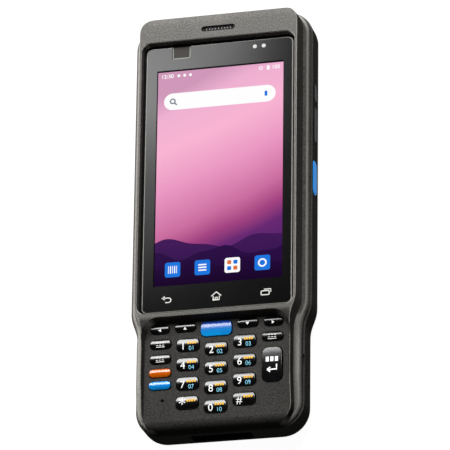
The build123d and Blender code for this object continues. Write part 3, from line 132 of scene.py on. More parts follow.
class Signal:
    """An output socket of a node tree, on which arithmetic adds Math nodes.

    A comparison gives 1 where it holds, else 0. The value is kept at most at one limit by most, and
    at least at another by least.
    """

    def __init__(self, graph: Graph, socket: bpy.types.NodeSocket) -> None:
        """Wraps one output socket of a graph."""
        self.graph = graph
        self.socket = socket

    __add__ = __radd__ = on_node("ADD")
    __sub__ = on_node("SUBTRACT")
    __rsub__ = on_node("SUBTRACT", swapped=True)
    __mul__ = __rmul__ = on_node("MULTIPLY")
    __truediv__ = on_node("DIVIDE")
    __pow__ = on_node("POWER")
    __lt__ = on_node("LESS_THAN")
    __gt__ = on_node("GREATER_THAN")
    __abs__ = on_node("ABSOLUTE")
    most = on_node("MINIMUM")
    least = on_node("MAXIMUM")

    def other(self, name: Union[str, int]) -> Signal:
        """Another output of the same node."""
        return Signal(self.graph, self.socket.node.outputs[name])

    def around(self, middle: float, swing: float) -> Signal:
        """Value from 0 to 1 made one that swings around a middle."""
        return (self - 0.5) * swing + middle

    def clamped(self) -> Signal:
        """Value kept between 0 and 1."""
        return self.most(1.0).least(0.0)


class Graph:
    """Node tree of a material, of the surroundings or of a mesh, built step by step."""

    def __init__(self, tree: bpy.types.NodeTree) -> None:
        """Takes a node tree and empties it."""
        self.tree = tree
        tree.nodes.clear()

    def add(self, kind: str, settings: Settings = None, inputs: Inputs = None) -> bpy.types.Node:
        """Adds a node, sets it up and links its inputs.

        Args:
            kind: type name of the node.
            settings: properties set first; "stops" are (place, colour) pairs of a ramp.
            inputs: values or signals by the input's name or number.

        Returns:
            The node.
        """
        made = self.tree.nodes.new(kind)
        for key, value in (settings or {}).items():
            if key == "stops":
                self._fill_ramp(made.color_ramp, value)
            else:
                setattr(made, key, value)
        for key, value in (inputs or {}).items():
            if isinstance(value, Signal):
                self.tree.links.new(value.socket, made.inputs[key])
            else:
                made.inputs[key].default_value = value
        return made

    def node(
        self, kind: str, settings: Settings = None, inputs: Inputs = None, output: Union[str, int] = 0
    ) -> Signal:
        """Adds a node as add does, and gives one of its outputs by name or number."""
        return Signal(self, self.add(kind, settings, inputs).outputs[output])

    @staticmethod
    def _fill_ramp(ramp: bpy.types.ColorRamp, stops: Stops) -> None:
        """Gives a colour ramp its stops.

        Args:
            ramp: the ramp, which has two stops.
            stops: places and colours, at least two.
        """
        while len(ramp.elements) < len(stops):
            ramp.elements.new(1.0)
        for element, (place, code) in zip(ramp.elements, stops):
            element.position = place
            element.color = linear(code)

    def place(self) -> Signal:
        """Position in the terminal's own frame."""
        return self.node("ShaderNodeTexCoord", output="Object")

    def split(self, vector: Signal) -> tuple[Signal, Signal, Signal]:
        """The three parts of a vector."""
        first = self.node("ShaderNodeSeparateXYZ", None, {0: vector})
        return (first, first.other(1), first.other(2))

    def facing(self) -> tuple[Signal, Signal, Signal]:
        """Parts of the surface's direction along each axis."""
        return self.split(self.node("ShaderNodeNewGeometry", output="Normal"))

    def up(self) -> Signal:
        """Upward part of the surface's direction."""
        return self.facing()[2]

    def noise(self, vector: Signal, size: float, detail: float = 2.0) -> Signal:
        """Cloudy noise from 0 to 1, with features of a size in millimetres."""
        inputs = {"Vector": vector, "Scale": 1 / (size * MM), "Detail": detail}
        return self.node("ShaderNodeTexNoise", None, inputs)

    def stretch(self, vector: Signal, scale: Point3) -> Signal:
        """Vector scaled along each axis."""
        return self.node("ShaderNodeMapping", None, {"Vector": vector, "Scale": scale})

    def blend(self, factor: Number, first: object, second: object) -> Signal:
        """Mix of two colours."""
        inputs = {0: factor, 6: first, 7: second}
        return self.node("ShaderNodeMix", {"data_type": "RGBA"}, inputs, 2)

    def mix(self, factor: Number, first: Signal, second: Signal) -> Signal:
        """Mix of two surfaces."""
        return self.node("ShaderNodeMixShader", None, {0: factor, 1: first, 2: second})

    def ramp(self, factor: Signal, stops: Stops) -> Signal:
        """Colour looked up in a ramp."""
        return self.node("ShaderNodeValToRGB", {"stops": stops}, {0: factor})

    def bump(self, height: Signal, depth: float, strength: float = 1.0) -> Signal:
        """Surface direction disturbed by a height; the depth is in millimetres."""
        inputs = {"Strength": strength, "Distance": depth * MM, "Height": height}
        return self.node("ShaderNodeBump", None, inputs)

    def seen(self) -> Signal:
        """1 for rays from the eye and for what gloss and glass show, else 0."""
        rays = self.node("ShaderNodeLightPath", output="Is Camera Ray")
        return (rays + rays.other("Is Glossy Ray") + rays.other("Is Transmission Ray")).most(1.0)


class Finish(Graph):
    """Node tree of one material."""

    def __init__(self, name: str) -> None:
        """Starts an empty material.

        Args:
            name: name of the material.
        """
        self.material = bpy.data.materials.new(name)
        self.material.use_nodes = True
        super().__init__(self.material.node_tree)

    def close(self, surface: Signal) -> bpy.types.Material:
        """Ends the tree in a surface shader and gives the material."""
        self.add("ShaderNodeOutputMaterial", None, {"Surface": surface})
        return self.material

    def principled(self, **inputs: object) -> bpy.types.Material:
        """Ends the tree in a principled surface.

        Args:
            inputs: the surface's inputs, with underscores for spaces.

        Returns:
            The finished material.
        """
        named = {key.replace("_", " "): value for key, value in inputs.items()}
        return self.close(self.node("ShaderNodeBsdfPrincipled", None, named))


# ---- finishes
def tinted(colour: Colour, share: float, lift: float = 0.0) -> Colour:
    """Colour made darker or lighter by a share, and lifted by a fixed amount."""
    return tuple(min(1.0, part * share + lift) for part in colour[:3]) + (1.0,)


@dataclass(frozen=True)
class Moulding:
    """Matt moulded plastic with the spark-eroded grain of its tool; lengths are in millimetres.

    Where a plate is given, the moulding is darkened there with painted shade, round the keys: within that
    distance of the middle, and below that y. The rolls at the sides, and the shelves beside the
    plate, get a painted highlight.
    """

    name: str
    dark: str
    light: str
    grain: float = 0.5
    depth: float = 0.05
    roughness: float = 0.65
    specular: float = 0.0
    uneven: float = 0.25
    pore: float = 0.4
    cloud: float = 22.0
    shares: Point3 = (2.2, 1.6, 0.35)
    # plate: region darkened with painted shade round the keys
    plate: Point | None = None
    plate_share: float = 0.34
    plate_fade: float = 1.5
    # colour, lean, spread and grain of the painted highlight on the rolls and shelves
    rubbed: str = "#b2afa8"
    rub_tilt: float = 0.5
    rub_width: float = 0.3
    rub_shelf: float = 0.65
    rub_specks: Point = (0.6, 0.5)

    def build(self) -> bpy.types.Material:
        """Builds the finish.

        Returns:
            The material.
        """
        graph = Finish(self.name)
        place = graph.place()
        speck = graph.noise(place, self.grain, detail=3.0)
        pores = graph.noise(place, self.grain * self.pore)
        cloud = graph.noise(place, self.cloud, detail=1.0)
        by_speck, by_pore, by_cloud = self.shares
        tone = (speck - 0.5) * by_speck + (pores - 0.5) * by_pore + cloud.around(0.5, by_cloud)
        colour = graph.blend(tone, linear(self.dark), linear(self.light))
        if self.plate:
            colour = self._worn(graph, place, tone, speck, colour)
        return graph.principled(
            Base_Color=colour,
            Roughness=speck.around(self.roughness, self.uneven),
            Specular_IOR_Level=self.specular,
            Normal=graph.bump(speck + pores * 0.5, self.depth),
        )

    def _worn(self, graph: Finish, place: Signal, tone: Signal, speck: Signal, colour: Signal) -> Signal:
        """Paints shade on the plate round the keys, and paints a highlight on the side rolls and shelves.

        Args:
            graph: the material's tree.
            place: position in the terminal's frame.
            tone: share of the lighter colour.
            speck: fine grain.
            colour: colour of the rest of the moulding.

        Returns:
            The colour of the whole moulding.
        """
        x, y, _ = graph.split(place)
        half_width, top = self.plate
        inside = ((half_width - abs(x) / MM) / self.plate_fade).clamped()
        below = ((top - y / MM) / self.plate_fade).clamped()
        # painted shade: darker copies of the two colours, blended in over the plate round the keys
        shades = [tinted(linear(code), self.plate_share) for code in (self.dark, self.light)]
        plate_shaded = graph.blend(inside * below, colour, graph.blend(tone, *shades))
        # painted highlight on the shelves beside the plate that face up, and on the rolls that lean
        # sideways
        shelf = (1 - inside) * below * graph.up() * self.rub_shelf
        roll = 1 - abs(abs(graph.facing()[0]) - self.rub_tilt) / self.rub_width
        by_speck, steady = self.rub_specks
        highlight_mask = roll.least(shelf) * (speck * by_speck + steady)
        return graph.blend(highlight_mask.most(1.0), plate_shaded, linear(self.rubbed))


@dataclass(frozen=True)
class Lacquer:
    """Glossy plastic with faint finger haze and a little dust; lengths are in millimetres.

    Where a lighter colour is given, it runs from that colour at y low to the other at y high.
    """

    name: str
    colour: str
    roughness: float = 0.22
    specular: float = 0.35
    glow: float = 0.0
    lighter: str = ""
    low: float = 0.0
    high: float = 1.0
    haze: float = 3.5
    dust: float = 0.3
    dust_level: float = 0.72
    haze_share: float = 0.6
    dust_share: float = 0.4
    pale: Point = (1.25, 0.002)
    uneven: Point = (0.12, 0.1)

    def build(self) -> bpy.types.Material:
        """Builds the finish.

        Returns:
            The material.
        """
        graph = Finish(self.name)
        place = graph.place()
        haze = graph.noise(place, self.haze)
        dust = graph.noise(place, self.dust, detail=1.0) > self.dust_level
        colour = linear(self.colour)
        base: object = colour
        if self.lighter:
            rise = (graph.split(place)[1] / MM - self.low) / (self.high - self.low)
            base = graph.blend(rise, linear(self.lighter), colour)
        dirt = haze * self.haze_share + dust * self.dust_share
        by_haze, by_dust = self.uneven
        return graph.principled(
            Base_Color=graph.blend(dirt, base, tinted(colour, *self.pale)),
            Roughness=haze.around(self.roughness, by_haze) + dust * by_dust,
            Specular_IOR_Level=self.specular,
            Emission_Color=colour,
            Emission_Strength=self.glow,
        )


@dataclass(frozen=True)
class Rubber:
    """Soft matt rubber with a powdery surface; lengths are in millimetres."""

    name: str
    colour: str
    powder: float = 0.8
    depth: float = 0.02
    pale: Point = (1.5, 0.002)
    roughness: float = 0.8
    uneven: float = 0.2
    specular: float = 0.1

    def build(self) -> bpy.types.Material:
        """Builds the finish.

        Returns:
            The material.
        """
        graph = Finish(self.name)
        powder = graph.noise(graph.place(), self.powder, detail=4.0)
        colour = linear(self.colour)
        return graph.principled(
            Base_Color=graph.blend(powder, colour, tinted(colour, *self.pale)),
            Roughness=powder.around(self.roughness, self.uneven),
            Specular_IOR_Level=self.specular,
            Normal=graph.bump(powder, self.depth),
        )


@dataclass(frozen=True)
class Metal:
    """Metal with fine lines from rolling or brushing; lengths are in millimetres."""

    name: str
    colour: str
    roughness: float = 0.35
    lines: Point3 = (0.05, 1.0, 1.0)
    line: float = 0.25
    patch: float = 6.0
    depth: float = 0.01
    dark_share: float = 0.72
    uneven: float = 0.2

    def build(self) -> bpy.types.Material:
        """Builds the finish.

        Returns:
            The material.
        """
        graph = Finish(self.name)
        place = graph.stretch(graph.place(), self.lines)
        line = graph.noise(place, self.line, detail=3.0)
        patch = graph.noise(place, self.patch)
        colour = linear(self.colour)
        return graph.principled(
            Base_Color=graph.blend((line + patch) * 0.5, tinted(colour, self.dark_share), colour),
            Metallic=1.0,
            Roughness=line.around(self.roughness, self.uneven),
            Normal=graph.bump(line, self.depth, strength=0.5),
        )


@dataclass(frozen=True)
class CircuitBoard:
    """Solder resist over copper tracks, with small tinned pads; the pitch is in millimetres."""

    name: str
    pitch: float = 1.6
    gap: float = 0.06
    pad: float = 0.16
    resist: str = "#0f3d24"
    covered: str = "#1c6038"
    tin: str = "#c9c4b2"
    roughness: float = 0.4
    depth: float = 0.03

    def build(self) -> bpy.types.Material:
        """Builds the finish.

        Returns:
            The material.
        """
        graph = Finish(self.name)
        place = graph.place()
        size = self.pitch * MM
        brick = {"Vector": place, "Scale": 1 / size, "Mortar Size": self.gap, "Brick Width": 2.0}
        track = graph.node("ShaderNodeTexBrick", None, brick, "Fac")
        spots = graph.node("ShaderNodeTexVoronoi", None, {"Vector": place, "Scale": 0.5 / size})
        pad = spots < self.pad
        green = graph.blend(track, linear(self.resist), linear(self.covered))
        return graph.principled(
            Base_Color=graph.blend(pad, green, linear(self.tin)),
            Metallic=pad,
            Roughness=self.roughness - pad * 0.1,
            Normal=graph.bump(track + pad, self.depth),
        )


@dataclass(frozen=True)
class CoverGlass:
    """Cover glass: black print on the back, clear over the display, ground edge with a painted highlight.

    Lengths are in millimetres. The ground edge is where the surface leans between the two tilts.
    """

    name: str
    half_width: float
    half_length: float
    centre: Point
    clear: float = 0.03
    black: str = "#070707"
    ground: str = "#a6a6a0"
    tilts: Point = (0.3, 0.94)
    smear: float = 14.0
    roughness: float = 0.15
    uneven: float = 0.04
    edge_roughness: float = 0.2
    specular: float = 0.08

    def build(self) -> bpy.types.Material:
        """Builds the finish.

        Returns:
            The material.
        """
        graph = Finish(self.name)
        place = graph.place()
        x, y, _ = graph.split(place)
        over_x = abs(x - self.centre[0] * MM) < self.half_width * MM
        over_y = abs(y - self.centre[1] * MM) < self.half_length * MM
        up = graph.up()
        steep, flat = self.tilts
        edge = (up < flat) * (up > steep)
        smear = graph.noise(place, self.smear)
        return graph.principled(
            # the ground edge's light grey is partly its own colour and partly a painted highlight along
            # the chamfer
            Base_Color=graph.blend(edge, linear(self.black), linear(self.ground)),
            Roughness=smear.around(self.roughness, self.uneven) + edge * self.edge_roughness,
            Specular_IOR_Level=self.specular,
            Alpha=1 - over_x * over_y * (1 - self.clear),
        )


@dataclass(frozen=True)
class LitGradient:
    """Lit picture whose colour runs up the display; lengths are in millimetres."""

    name: str
    stops: Stops
    low_y: float
    high_y: float
    lean: float = 0.0
    drift: float = 30.0
    drift_share: float = 0.06

    def build(self) -> bpy.types.Material:
        """Builds the finish.

        Returns:
            The material.
        """
        graph = Finish(self.name)
        place = graph.place()
        x, y, _ = graph.split(place)
        drift = graph.noise(place, self.drift, detail=1.0) - 0.5
        height = (y - self.low_y * MM) / ((self.high_y - self.low_y) * MM)
        rise = height - x / MM * self.lean + drift * self.drift_share
        return graph.principled(
            Base_Color=linear("#000000"),
            Roughness=0.5,
            Specular_IOR_Level=0.0,
            Emission_Color=graph.ramp(rise, self.stops),
            Emission_Strength=1.0,
        )


@dataclass(frozen=True)
class Print:
    """Thin opaque ink with the slight mottling of a pad print, or a lit sign."""

    name: str
    ink: Ink
    glow: float = 0.0
    mottle: float = 0.35
    dark_share: float = 0.88
    lit_share: float = 0.97
    roughness: float = 0.45
    uneven: float = 0.2
    specular: float = 0.1

    def build(self) -> bpy.types.Material:
        """Builds the finish.

        Returns:
            The material.
        """
        graph = Finish(self.name)
        mottle = graph.noise(graph.place(), self.mottle)
        colour = linear(self.ink.value)
        lit = self.glow >= 1.0
        ink = graph.blend(mottle, tinted(colour, self.lit_share if lit else self.dark_share), colour)
        return graph.principled(
            Base_Color=linear("#000000") if lit else ink,
            Roughness=mottle.around(self.roughness, self.uneven),
            Specular_IOR_Level=0.0 if lit else self.specular,
            Emission_Color=ink,
            Emission_Strength=self.glow,
        )


@dataclass(frozen=True)
class LensGlass:
    """Dark glass disc with the rings of a lens barrel behind it; lengths are in millimetres."""

    name: str
    centre: Point
    stops: Stops
    radius: float
    roughness: float = 0.08
    rim_roughness: float = 0.04

    def build(self) -> bpy.types.Material:
        """Builds the finish.

        Returns:
            The material.
        """
        graph = Finish(self.name)
        x, y, _ = graph.split(graph.place())
        across = (x - self.centre[0] * MM) / (self.radius * MM)
        along = (y - self.centre[1] * MM) / (self.radius * MM)
        reach = (across * across + along * along) ** 0.5
        return graph.principled(
            Base_Color=graph.ramp(reach, self.stops),
            Roughness=self.roughness + reach * self.rim_roughness,
            Specular_IOR_Level=0.5,
            Coat_Weight=0.8,
            Coat_Roughness=0.02,
        )


@dataclass(frozen=True)
class TintedPlate:
    """Smoked cover in the notch, with a bright trim line along its sides and its foot.

    The two corners are in metres, other lengths in millimetres.
    """

    name: str
    low: Point
    high: Point
    colour: str = "#2d2a26"
    trim: str = "#8f8f89"
    line: float = 0.26
    fog: float = 2.0
    dark_share: float = 0.9
    roughness: float = 0.3
    uneven: float = 0.1
    specular: float = 0.03

    def build(self) -> bpy.types.Material:
        """Builds the finish.

        Returns:
            The material.
        """
        graph = Finish(self.name)
        place = graph.place()
        x, y, _ = graph.split(place)
        middle = [(a + b) / 2 for a, b in zip(self.low, self.high)]
        half = [(b - a) / 2 - self.line * MM for a, b in zip(self.low, self.high)]
        sides = abs(x - middle[0]) > half[0]
        foot = y < middle[1] - half[1]
        fog = graph.noise(place, self.fog)
        colour = linear(self.colour)
        smoke = graph.blend(fog, tinted(colour, self.dark_share), colour)
        return graph.principled(
            Base_Color=graph.blend((sides + foot).most(1.0), smoke, linear(self.trim)),
            Roughness=fog.around(self.roughness, self.uneven),
            Specular_IOR_Level=self.specular,
        )


Finishing = Union[Moulding, Lacquer, Rubber, Metal, CircuitBoard, LensGlass, TintedPlate]


# ---- outlines and meshes
def rounded_outline(x: float, y: float, width: float, height: float, radius: float) -> list[Point]:
    """Outline of a rounded rectangle, counter-clockwise, in millimetres.

    Args:
        x: centre along X.
        y: centre along Y.
        width: size along X.
        height: size along Y.
        radius: corner radius.

    Returns:
        The outline's points.
    """
    reach = min(radius, width / 2, height / 2)
    points = []
    for corner, (side_x, side_y) in enumerate(((1, -1), (1, 1), (-1, 1), (-1, -1))):
        middle_x = x + side_x * (width / 2 - reach)
        middle_y = y + side_y * (height / 2 - reach)
        for step in range(CORNER_STEPS + 1):
            angle = math.radians(-90 + (corner + step / CORNER_STEPS) * 90)
            points.append((middle_x + reach * math.cos(angle), middle_y + reach * math.sin(angle)))
    return points


def arc(x: float, y: float, radius: float, start: float, end: float) -> list[Point]:
    """Points along an arc.

    Args:
        x: centre along X.
        y: centre along Y.
        radius: radius of the arc.
        start: angle of the first point, in degrees.
        end: angle of the last point.

    Returns:
        The points, in steps of the same angle.
    """
    count = int(abs(end - start) / ARC_STEP)
    angles = [math.radians(start + (end - start) * step / count) for step in range(count + 1)]
    return [(x + radius * math.cos(angle), y + radius * math.sin(angle)) for angle in angles]


def circle(x: float, y: float, radius: float) -> list[Point]:
    """Points round a circle."""
    return arc(x, y, radius, 0, 360 - ARC_STEP)


def stroke(path: Outline, width: float, closed: bool = False) -> list[Outline]:
    """Quadrilaterals that follow a path with a constant width.

    Args:
        path: points of the middle line, in millimetres.
        width: width of the stroke.
        closed: whether the last point joins the first.

    Returns:
        One outline for each stretch of the path.
    """
    points = [Vector(point) for point in path]
    count = len(points)
    sides = []
    for index, point in enumerate(points):
        before = points[index - 1] if index or closed else point
        after = points[(index + 1) % count] if index < count - 1 or closed else point
        along = (after - before).normalized()
        turn = (point - before).normalized().dot(along) if point != before else 1.0
        side = Vector((-along.y, along.x)) * (width / 2 / max(SHARPEST_TURN, abs(turn)))
        sides.append((point + side, point - side))
    quads = []
    for index in range(count if closed else count - 1):
        left, right = sides[index]
        next_left, next_right = sides[(index + 1) % count]
        quads.append([tuple(right), tuple(next_right), tuple(next_left), tuple(left)])
    return quads


def scaled(outline: Outline, size: float) -> list[Point]:
    """Outline made larger about the origin."""
    return [(x * size, y * size) for x, y in outline]


def turned(outline: Outline, degrees: float) -> list[Point]:
    """Outline turned about the origin, counter-clockwise."""
    cos, sin = math.cos(math.radians(degrees)), math.sin(math.radians(degrees))
    return [(x * cos - y * sin, x * sin + y * cos) for x, y in outline]


def moved(outlines: Iterable[Outline], x: float, y: float) -> list[Outline]:
    """Outlines shifted in the plane."""
    return [[(px + x, py + y) for px, py in outline] for outline in outlines]


def text_outlines(text: str, height: float, weight: float = 0.0) -> list[Outline]:
    """Faces of plain figures, centred on the origin.

    Args:
        text: the figures.
        height: their height in millimetres.
        weight: growth of each stroke to both sides.

    Returns:
        The faces.
    """
    curve = bpy.data.curves.new("lettering", type="FONT")
    curve.offset = weight
    curve.body = text
    curve.align_x = "CENTER"
    curve.align_y = "CENTER"
    curve.size = height / FIGURE_SHARE
    holder = linked("lettering", curve)
    mesh = plain_mesh(holder)
    faces = [[tuple(mesh.vertices[index].co.xy) for index in face.vertices] for face in mesh.polygons]
    bpy.data.objects.remove(holder)
    bpy.data.curves.remove(curve)
    bpy.data.meshes.remove(mesh)
    return faces


@dataclass(frozen=True)
class Line:
    """Line of a sign; its weight is a share of the sign's line width."""

    path: Outline
    weight: float = 1.0
    closed: bool = False


@dataclass(frozen=True)
class Sign:
    """Plain sign in a square from -1 to 1, made of lines and of filled outlines."""

    lines: tuple[Line, ...] = ()
    solids: tuple[Outline, ...] = ()

    def drawn(self, size: float, width: float = 0.0) -> list[Outline]:
        """Draws the sign about the origin.

        Args:
            size: its overall size in millimetres.
            width: width of its lines in millimetres.

        Returns:
            Its outlines.
        """
        made: list[Outline] = []
        for line in self.lines:
            made += stroke(scaled(line.path, size / 2), width * line.weight, line.closed)
        return made + [scaled(solid, size / 2) for solid in self.solids]


ARROW: Outline = ((-1.0, -0.8), (1.0, -0.8), (0.0, 0.8))


class Mark(Enum):
    """Plain signs that a key, the glass or the start screen can carry."""

    UP = Sign(solids=(ARROW,))
    LEFT = Sign(solids=(turned(ARROW, 90),))
    DOWN = Sign(solids=(turned(ARROW, 180),))
    RIGHT = Sign(solids=(turned(ARROW, 270),))
    RING = Sign((Line(circle(0.0, 0.0, 1.0), closed=True),))
    RETURN = Sign((
        Line(((-1.0, 0.0), (1.0, 0.0), (1.0, 1.1))),
        Line(((-1.0, 0.0), (-0.35, 0.5))),
        Line(((-1.0, 0.0), (-0.35, -0.5))),
    ))
    BACK = Sign(
        (Line(((-1.0, 0.35), *arc(0.35, -0.12, 0.47, 90, -90), (-0.35, -0.59))),),
        (((-1.15, 0.35), (-0.45, -0.1), (-0.45, 0.8)),),
    )
    HOUSE = Sign((
        Line(((-1.0, 0.0), (0.0, 0.85), (1.0, 0.0))),
        Line(((-0.62, 0.0), (-0.62, -0.8), (0.62, -0.8), (0.62, 0.0))),
        Line(((-0.2, -0.8), (-0.2, -0.3), (0.2, -0.3), (0.2, -0.8)), 0.8),
    ))
    SHEETS = Sign((
        Line(rounded_outline(-0.15, -0.15, 1.64, 0.84, 0.2), closed=True),
        Line(((-0.4, 0.6), (1.0, 0.6), (1.0, -0.05))),
    ))
    MAGNIFIER = Sign((
        Line(circle(-0.1, 0.1, 0.62), closed=True),
        Line(((0.45, -0.45), (1.0, -1.0))),
    ))


def linked(name: str, data: bpy.types.ID) -> bpy.types.Object:
    """New object in the scene.

    Args:
        name: its name.
        data: its mesh, curve, lamp or camera.

    Returns:
        The object.
    """
    made = bpy.data.objects.new(name, data)
    bpy.context.scene.collection.objects.link(made)
    return made


def plain_mesh(holder: bpy.types.Object) -> bpy.types.Mesh:
    """Mesh of an object with its modifiers worked in."""
    return bpy.data.meshes.new_from_object(holder.evaluated_get(bpy.context.evaluated_depsgraph_get()))


def mesh_of(name: str, shape: bmesh.types.BMesh, inks: Iterable[bpy.types.Material]) -> bpy.types.Mesh:
    """Mesh of a shape, which is freed.

    Args:
        name: name of the mesh.
        shape: the shape.
        inks: materials of its faces, in the order of their numbers.

    Returns:
        The mesh.
    """
    mesh = bpy.data.meshes.new(name)
    shape.to_mesh(mesh)
    shape.free()
    for ink in inks:
        mesh.materials.append(ink)
    return mesh


def rider(name: str, mesh: bpy.types.Mesh, body: str) -> bpy.types.Object:
    """Makes a piece of a mesh that is in metres, and lets it ride on a body.

    Args:
        name: name of the piece.
        mesh: its mesh.
        body: the body that it moves with.

    Returns:
        The piece.
    """
    piece = linked(name, mesh)
    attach(piece, body)
    LOG.info("piece %s: %d faces on %s", name, len(mesh.polygons), body)
    return piece


def surface_of(node: str) -> BVHTree:
    """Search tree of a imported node's surface.

    Args:
        node: the node's name.

    Returns:
        The tree, in metres.
    """
    mesh = bpy.data.objects[node].data
    verts = [vert.co.copy() for vert in mesh.vertices]
    return BVHTree.FromPolygons(verts, [tuple(face.vertices) for face in mesh.polygons])


def height_at(ground: BVHTree, x: float, y: float) -> float:
    """Height of the surface over a point, seen from above, in metres."""
    hit = ground.ray_cast(Vector((x, y, ABOVE)), Vector((0, 0, -1)))
    return hit[0].z if hit[0] else 0.0


class Relief:
    """Flat outlines turned into thin closed plates that can follow a surface below them."""

    def __init__(self, name: str, thickness: float, row: float = 0.0) -> None:
        """Starts an empty relief.

        Args:
            name: name of the piece.
            thickness: height of the plates in millimetres.
            row: width of the strips that the plates are cut into, or 0 for none.
        """
        self.name = name
        self.thickness = thickness
        self.row = row
        self.mesh = bmesh.new()
        self.inks: list[bpy.types.Material] = []

    def add(self, outlines: Iterable[Outline], ink: bpy.types.Material, z: float = 0.0) -> Relief:
        """Adds outlines in one material.

        Args:
            outlines: the outlines, in millimetres.
            ink: their material.
            z: height of their underside.

        Returns:
            This relief.
        """
        if ink not in self.inks:
            self.inks.append(ink)
        part = bmesh.new()
        for outline in outlines:
            part.faces.new([part.verts.new((x, y, z)) for x, y in outline])
        bmesh.ops.remove_doubles(part, verts=part.verts, dist=JOIN)
        if self.row:
            self._slice(part)
        for face in part.faces:
            face.normal_update()
            if face.normal.z > 0:
                face.normal_flip()
        self._thicken(part)
        for face in part.faces:
            face.material_index = self.inks.index(ink)
        made = mesh_of(self.name, part, ())
        self.mesh.from_mesh(made)
        bpy.data.meshes.remove(made)
        return self

    def _slice(self, part: bmesh.types.BMesh) -> None:
        """Cuts the plates into strips across Y, so that they can bend.

        Args:
            part: the flat plates.
        """
        places = [vert.co.y for vert in part.verts]
        count = int((max(places) - min(places)) / self.row)
        for step in range(1, count + 1):
            level = min(places) + step * self.row
            everything = part.verts[:] + part.edges[:] + part.faces[:]
            bmesh.ops.bisect_plane(part, geom=everything, plane_co=(0, level, 0), plane_no=(0, 1, 0))

    def _thicken(self, part: bmesh.types.BMesh) -> None:
        """Raises a copy of the faces and closes the sides.

        Args:
            part: the flat plates, which face down.
        """
        base = part.faces[:]
        raised = bmesh.ops.extrude_face_region(part, geom=base, use_keep_orig=True)
        verts = [item for item in raised["geom"] if isinstance(item, bmesh.types.BMVert)]
        bmesh.ops.translate(part, verts=verts, vec=(0, 0, self.thickness))
        bmesh.ops.recalc_face_normals(part, faces=part.faces)

    def piece(self, body: str, ground: BVHTree | None = None, sink: float = 0.0) -> bpy.types.Object:
        """Turns the relief into a piece that rides on a body.

        Args:
            body: the body that it moves with.
            ground: surface to lie on, seen from above; none leaves the plates at their own height.
            sink: how far the plates go into that surface, in millimetres.

        Returns:
            The piece.
        """
        for vert in self.mesh.verts:
            vert.co *= MM
            if ground is not None:
                vert.co.z += height_at(ground, vert.co.x, vert.co.y) - sink * MM
        return rider(self.name, mesh_of(self.name, self.mesh, self.inks), body)


# ---- repeated marks
class RowOfBars:
    """Geometry Nodes tree that sets bars along a line."""

    def __init__(self) -> None:
        """Builds the tree once, with its sizes as inputs."""
        self.tree = bpy.data.node_groups.new("row_of_bars", "GeometryNodeTree")
        graph = Graph(self.tree)
        face = self.tree.interface
        face.new_socket("Geometry", in_out="OUTPUT", socket_type="NodeSocketGeometry")
        kinds = {"Count": "Int", "Ink": "Material", "Start": "Vector", "Step": "Vector", "Size": "Vector"}
        self.sockets: dict[str, str] = {}
        for name, kind in kinds.items():
            socket = face.new_socket(name, in_out="INPUT", socket_type="NodeSocket" + kind)
            self.sockets[name] = socket.identifier
        source = graph.node("NodeGroupInput")
        spots = {name: source.other(name) for name in kinds}
        line = {"Count": spots["Count"], "Start Location": spots["Start"], "Offset": spots["Step"]}
        points = graph.node("GeometryNodeMeshLine", None, line)
        bar = graph.node("GeometryNodeMeshCube", None, {"Size": spots["Size"]})
        placed = graph.node("GeometryNodeInstanceOnPoints", None, {"Points": points, "Instance": bar})
        real = graph.node("GeometryNodeRealizeInstances", None, {"Geometry": placed})
        ends = {"Geometry": real, "Material": spots["Ink"]}
        inked = graph.node("GeometryNodeSetMaterial", None, ends)
        graph.add("NodeGroupOutput", None, {"Geometry": inked})

    def make(
        self, count: int, start: Point3, step: Point3, size: Point3, ink: bpy.types.Material
    ) -> bpy.types.Mesh:
        """Plain mesh of a row of bars.

        Args:
            count: number of bars.
            start: centre of the first bar, in millimetres.
            step: way from one bar to the next.
            size: size of one bar.
            ink: its material.

        Returns:
            The mesh, in metres.
        """
        holder = linked("row", bpy.data.meshes.new("row"))
        modifier = holder.modifiers.new("row", "NODES")
        modifier.node_group = self.tree
        modifier[self.sockets["Count"]] = count
        for key, value in (("Start", start), ("Step", step), ("Size", size)):
            modifier[self.sockets[key]] = [part * MM for part in value]
        modifier[self.sockets["Ink"]] = ink
        mesh = plain_mesh(holder)
        holder.modifiers.remove(modifier)
        bpy.data.objects.remove(holder)
        return mesh


